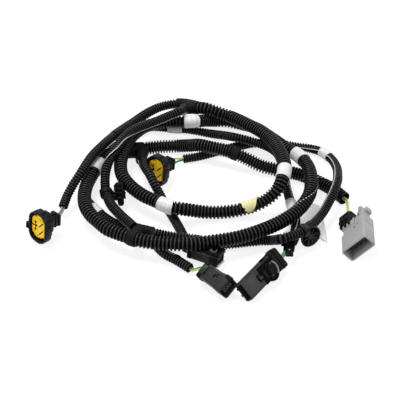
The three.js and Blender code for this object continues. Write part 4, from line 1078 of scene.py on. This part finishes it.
# A near-black plate at the bottom of the mouth: painted shade.
block(bm, (-0.0168, -0.0131), (-0.0095, 0.0095), (-0.0042, 0.0042), soft=0.0002, paint=1)
block(bm, (-0.0165, -0.0055), (-0.0075, 0.0075), (-0.0011, 0.0011))
for side in (-0.0048, 0, 0.0048):
    block(bm, (-0.0165, -0.0075), (side - 0.0005, side + 0.0005), (-0.0034, 0.0034), soft=0.0002)
main_tongue = moulded("main_connector_inside", bm, [housing_charcoal, near_black_painted_shade],
                      "main_connector_tongue", main_place)
bm = bmesh.new()
cap = main_place @ Matrix.Translation((-0.0263, -0.0052, 0.003))
block(bm, (-0.0092, 0), (-0.0055, 0.0055), (-0.0046, 0.0046), corner=0.0022, soft=0.0006)
block(bm, (-0.0095, -0.0072), (-0.006, 0.006), (-0.005, 0.005), corner=0.0026, soft=0.0006)
block(bm, (-0.0066, -0.0024), (-0.0062, -0.004), (-0.003, 0.0042), soft=0.0008)
block(bm, (-0.006, -0.002), (0.0042, 0.0062), (-0.0034, 0.0034), soft=0.0008)
block(bm, (-0.0048, -0.0014), (-0.0036, 0.0036), (0.0042, 0.006), soft=0.0007)
for side in (-0.0036, 0, 0.0036):
    block(bm, (-0.001, 0.0042), (side - 0.0007, side + 0.0007), (0.0032, 0.0052))
turned(bm, [(0.0026, -0.0112), (0.0032, -0.011), (0.0034, -0.009), (0.0024, -0.009)], sides=24)
main_cover = moulded("main_connector_cover", bm, [housing_black],
                     "main_connector_wire_cover", cap)
main_wires = run_wires("main", "main_connector", trunk, "start", cap, -0.0102,
                       [(-0.0007, 0.0004), (0.0007, 0.0004)], ["yellow", "lime"], 0.06, 0.12, 0.0013)

# Front and cross plugs
# Two-way plugs of charcoal plastic, 11.6 mm wide: a mouth with a contact carrier in it, a latch on top, and a
# black cap over the seals at the back. The cross plug is 7.6 mm high and has a square latch frame.
# The front plug is 8.6 mm high.

# A grey for a U-shaped mark on the cross plug's latch: a painted highlight.
latch_painted_highlight = plastic("latch_painted_highlight", (0.138, 0.138, 0.144), (0.262, 0.262, 0.270), 0.4, 0.25, 0.4, 0.3)
# A pale grey for a bar along the cross plug's mouth edge: a painted highlight.
lip_painted_highlight = plastic("lip_painted_highlight", (0.831, 0.831, 0.831), (0.913, 0.913, 0.913), 0.2, 0.25, 0.4, 0.4)
carrier_brown = plastic("carrier_brown", (0.0612, 0.0452, 0.0452), (0.156, 0.117, 0.117), 0.4, 0.35, 0.55,
                        0.2)


def two_way_plug(name, place, length, height, framed, holes):
    """A two-way plug's shell, carrier and cap, its mouth towards X. Its wires go in at holes."""
    high = height / 2
    bm = bmesh.new()
    if framed:
        block(bm, (-length, 0), (-0.0058, 0.0058), (-high, high), corner=0.0013, mouth=(0.0011, 0.0072))
        block(bm, (-0.0096, -0.0084), (-0.0048, 0.0052), (high - 0.0004, high + 0.002), paint=2)
        block(bm, (-0.0012, 0.001), (-0.0048, 0.0052), (high - 0.0004, high + 0.0022), paint=2)
        for side in (-0.0052, 0.0042):
            block(bm, (-0.0096, 0.001), (side, side + 0.0013), (high - 0.0004, high + 0.0022), paint=2)
        block(bm, (-0.0086, -0.001), (-0.0044, 0.0046), (high - 0.0002, high + 0.0003), soft=0, paint=2)
        # A grey U-shaped mark on the latch: a painted highlight.
        block(bm, (-0.0078, -0.0072), (-0.0024, 0.0014), (high, high + 0.0021), soft=0.0001, paint=3)
        block(bm, (-0.0078, -0.0034), (-0.0024, -0.0017), (high, high + 0.0021), soft=0.0001, paint=3)
        block(bm, (-0.004, -0.0034), (-0.0024, 0.0014), (high, high + 0.0021), soft=0.0001, paint=3)
        # A pale bar along the edge of the mouth: a painted highlight.
        block(bm, (-0.0004, 0.0012), (-0.005, 0.0048), (-high - 0.0002, -high + 0.0009), soft=0.0002, paint=1)
        block(bm, (-0.0058, 0.0006), (-0.0064, -0.0054), (-high + 0.0006, high - 0.0004), paint=2)
    else:
        block(bm, (-length, -0.004), (-0.0058, 0.0058), (-high, high), corner=0.0013)
        slanted = Matrix(((1, 0, -0.3, 0), (0, 1, 0, 0), (0, 0, 1, 0), (0, 0, 0, 1)))
        block(bm, (-0.0072, 0), (-0.0065, 0.0063), (-high - 0.0002, high + 0.0003), corner=0.0022,
              mouth=(0.0008, 0.0066), turn=slanted)
        block(bm, (-0.0046, 0.0007), (0.0038, 0.0066), (high - 0.0012, high + 0.0013), soft=0.0005, paint=2)
        block(bm, (-0.0125, -0.0118), (-0.0006, 0.0024), (high - 0.0002, high + 0.0005), soft=0.0001, paint=2)
        block(bm, (-0.0108, -0.01), (0.0006, 0.0034), (high - 0.0002, high + 0.0005), soft=0.0001, paint=2)
        block(bm, (-length + 0.001, -0.0072), (0.0036, 0.0044), (high - 0.0004, high + 0.0005), soft=0.0002)
        block(bm, (-length + 0.001, -0.0072), (-0.0044, -0.0036), (high - 0.0004, high + 0.0005), soft=0.0002)
    shell = moulded(name + "_shell", bm, [housing_charcoal, lip_painted_highlight, clip_matt, latch_painted_highlight],
                    name + "_housing", place)
    bm = bmesh.new()
    block(bm, (-0.0071, -0.0018), (-0.004, 0.004), (-high + 0.0019, high - 0.0019), corner=0.001, soft=0.0004)
    # Each contact hole is a flat near-black disc inside a raised ring: painted shade.
    for side in (-0.002, 0.002):
        turned(bm, [(0.0008, 0), (0.0017, 0), (0.0016, 0.001), (0.0009, 0.001)], (-0.0019, side, 0), sides=18)
        turned(bm, [(0, 0), (0.0009, 0), (0.0009, 0.0002), (0, 0.0002)], (-0.0019, side, 0), sides=18,
               paint=1)
    block(bm, (-0.0031, -0.001), (-0.0003, 0.0003), (-high + 0.0019, high - 0.0019), soft=0.0001)
    inside = moulded(name + "_carrier", bm, [carrier_brown, near_black_painted_shade],
                     name + "_contact_carrier", place)
    bm = bmesh.new()
    block(bm, (-length - 0.0031, -length - 0.0002), (-0.0063, 0.0063), (-high - 0.0001, high + 0.0004),
          corner=0.0014, soft=0.0004)
    block(bm, (-length - 0.003, -length + 0.0012), (-0.0034, 0.0034), (high, high + 0.0008), paint=1)
    if framed:
        turned(bm, [(0, -0.0052), (0.0028, -0.005), (0.0034, -0.0042), (0.0034, -0.0006), (0.004, 0), (0, 0)],
               (-length - 0.0031, 0, 0), sides=24)
    for y, z in holes:
        turned(bm, [(0.0009, -0.0009), (0.0014, -0.0009), (0.0017, 0.0002), (0.0009, 0.0002)],
               (-length - 0.0031, y, z), sides=18)
    cap = moulded(name + "_cap", bm, [clip_matt, housing_charcoal], name + "_rear_cap",
                  place)
    return [shell, inside, cap]


front_place = connector_place((0.0166, -0.1068, 0.0081), -47, 0, 31)
front_holes = [(-0.0009, 0), (0.0009, 0)]
front_plug = two_way_plug("front_plug", front_place, 0.021, 0.0086, False, front_holes)
front_wires = run_wires("front", "front_plug", front_line, "end", front_place, -0.0244, front_holes,
                        ["lime", "green"], thick=0.0012)
cross_place = connector_place((0.0115, -0.0745, 0.0052), -28, 0, -10)
cross_holes = [(0, -0.0017), (0, 0.0017)]
cross_plug = two_way_plug("cross_plug", cross_place, 0.0195, 0.0076, True, cross_holes)
cross_wires = run_wires("cross", "cross_plug", cross_line, "end", cross_place, -0.0228, cross_holes,
                        ["black", "grey"])

# Sealed connector
# A long flat connector of charcoal plastic, 13.4 by 7 mm and 37 mm long, for three wires: a notched mouth, a
# small framed window, a round ribbed lock in a shallow pocket, and a wide flange at the back.

sealed_place = connector_place((0.0266, -0.1098, 0.0069), -125.5, -1.6, -42)
# A light grey for an arc beside the round lock and for one of its ribs: a painted highlight.
lock_painted_highlight = plastic("lock_painted_highlight", (0.181, 0.181, 0.188), (0.305, 0.305, 0.314), 0.4, 0.2, 0.35, 0.5)
lock_centre = (-0.0265, 0.0012, 0.0034)
pocket_centre = (-0.0258, 0.0016, 0.0034)
bm = bmesh.new()
block(bm, (-0.037, 0), (-0.0067, 0.0067), (-0.0035, 0.0035), corner=0.0012, mouth=(0.001, 0.0075))
block(bm, (-0.0365, -0.0012), (-0.0071, -0.0058), (-0.0038, 0.001))
for side in (-0.0036, 0.0014):
    block(bm, (-0.0022, 0.0005), (side - 0.0008, side + 0.0008), (-0.004, -0.0031), soft=0.0002, paint=1)
block(bm, (-0.03, -0.026), (-0.0078, -0.006), (-0.001, 0.003), soft=0.0005, paint=1)
# A flat near-black plate and disc round the lock, with a raised rim, stand for its pocket: painted shade.
block(bm, (-0.0335, -0.0168), (-0.0058, 0.0069), (0.0033, 0.00362), soft=0.0001, paint=1)
turned(bm, [(0, -0.0001), (0.0072, -0.0001), (0.0072, 0.0004), (0, 0.0004)], pocket_centre, (0, 0, 1),
       sides=40, paint=1)
turned(bm, [(0.0065, 0.0002), (0.0072, 0.0002), (0.0073, 0.0009), (0.0066, 0.001)], pocket_centre, (0, 0, 1),
       sides=40, paint=1)
block(bm, (-0.0185, -0.0175), (-0.0026, 0.0026), (0.003, 0.0043), soft=0.0002, paint=1)
block(bm, (-0.0145, -0.0135), (-0.0026, 0.0026), (0.003, 0.0043), soft=0.0002, paint=1)
for side in (-0.0026, 0.0018):
    block(bm, (-0.0185, -0.0135), (side, side + 0.0008), (0.003, 0.0043), soft=0.0002, paint=1)
block(bm, (-0.0176, -0.0144), (-0.0006, 0.0016), (0.0033, 0.0042), soft=0.0002)
sealed_shell = moulded("sealed_connector_shell", bm, [housing_charcoal, near_black_painted_shade],
                       "sealed_connector_housing", sealed_place)
bm = bmesh.new()
block(bm, (-0.0074, -0.003), (-0.0052, 0.0052), (-0.0022, 0.0022), corner=0.0006)
# The three contact holes are flat near-black discs: painted shade.
for side in (-0.0032, 0, 0.0032):
    turned(bm, [(0, 0), (0.0009, 0), (0.0009, 0.0002), (0, 0.0002)], (-0.0031, side, 0), sides=18, paint=1)
sealed_carrier = moulded("sealed_connector_carrier", bm, [housing_black, near_black_painted_shade],
                         "sealed_connector_contact_carrier", sealed_place)
bm = bmesh.new()
turned(
    bm,
    [(0, 0), (0.005, 0), (0.005, 0.0013), (0.0046, 0.0016), (0.0036, 0.0014), (0.0034, 0.0026),
     (0.0028, 0.0028), (0.0014, 0.0023), (0, 0.0021)],
    lock_centre, (0, 0, 1), sides=36)
# The rib at 60 degrees takes the painted highlight colour.
for degrees in range(0, 180, 30):
    block(bm, (-0.0048, 0.0048), (-0.0002, 0.0002), (0.001, 0.0019), soft=0.0001, paint=degrees == 60,
          turn=Matrix.Translation(lock_centre) @ Matrix.Rotation(math.radians(degrees), 4, "Z"))
block(bm, (-0.0225, -0.0195), (-0.002, 0.0044), (0.0034, 0.0046))
block(bm, (-0.0325, -0.0225), (0.0046, 0.0062), (0.0034, 0.0046))
# An arc of small light grey blocks beside the lock: a painted highlight.
for degrees in (-50, -30, -10, 10, 30):
    block(bm, (-0.0011, 0.0011), (0.0052, 0.0064), (0.0006, 0.0018), soft=0.0002, paint=1,
          turn=Matrix.Translation(lock_centre) @ Matrix.Rotation(math.radians(degrees + 90), 4, "Z"))
sealed_lock = moulded("sealed_connector_round_lock", bm, [clip_matt, lock_painted_highlight],
                      "sealed_connector_lock", sealed_place)
bm = bmesh.new()
block(bm, (-0.0415, -0.0373), (-0.0078, 0.0078), (-0.0046, 0.0046), corner=0.0018, soft=0.0005)
block(bm, (-0.0376, -0.0335), (-0.0073, 0.0073), (-0.0041, 0.0041), corner=0.0016, soft=0.0004)
sealed_flange = moulded("sealed_connector_flange", bm, [clip_matt],
                        "sealed_connector_rear_flange", sealed_place)
sealed_wires = run_wires("sealed", "sealed_connector", long_line, "end", sealed_place, -0.0415,
                         [(0.0024, 0.0002), (0.0012, 0.0008), (0.0012, -0.0014)],
                         ["blue", "green", "orange"], 0.1, 0.1, thick=0.0014)
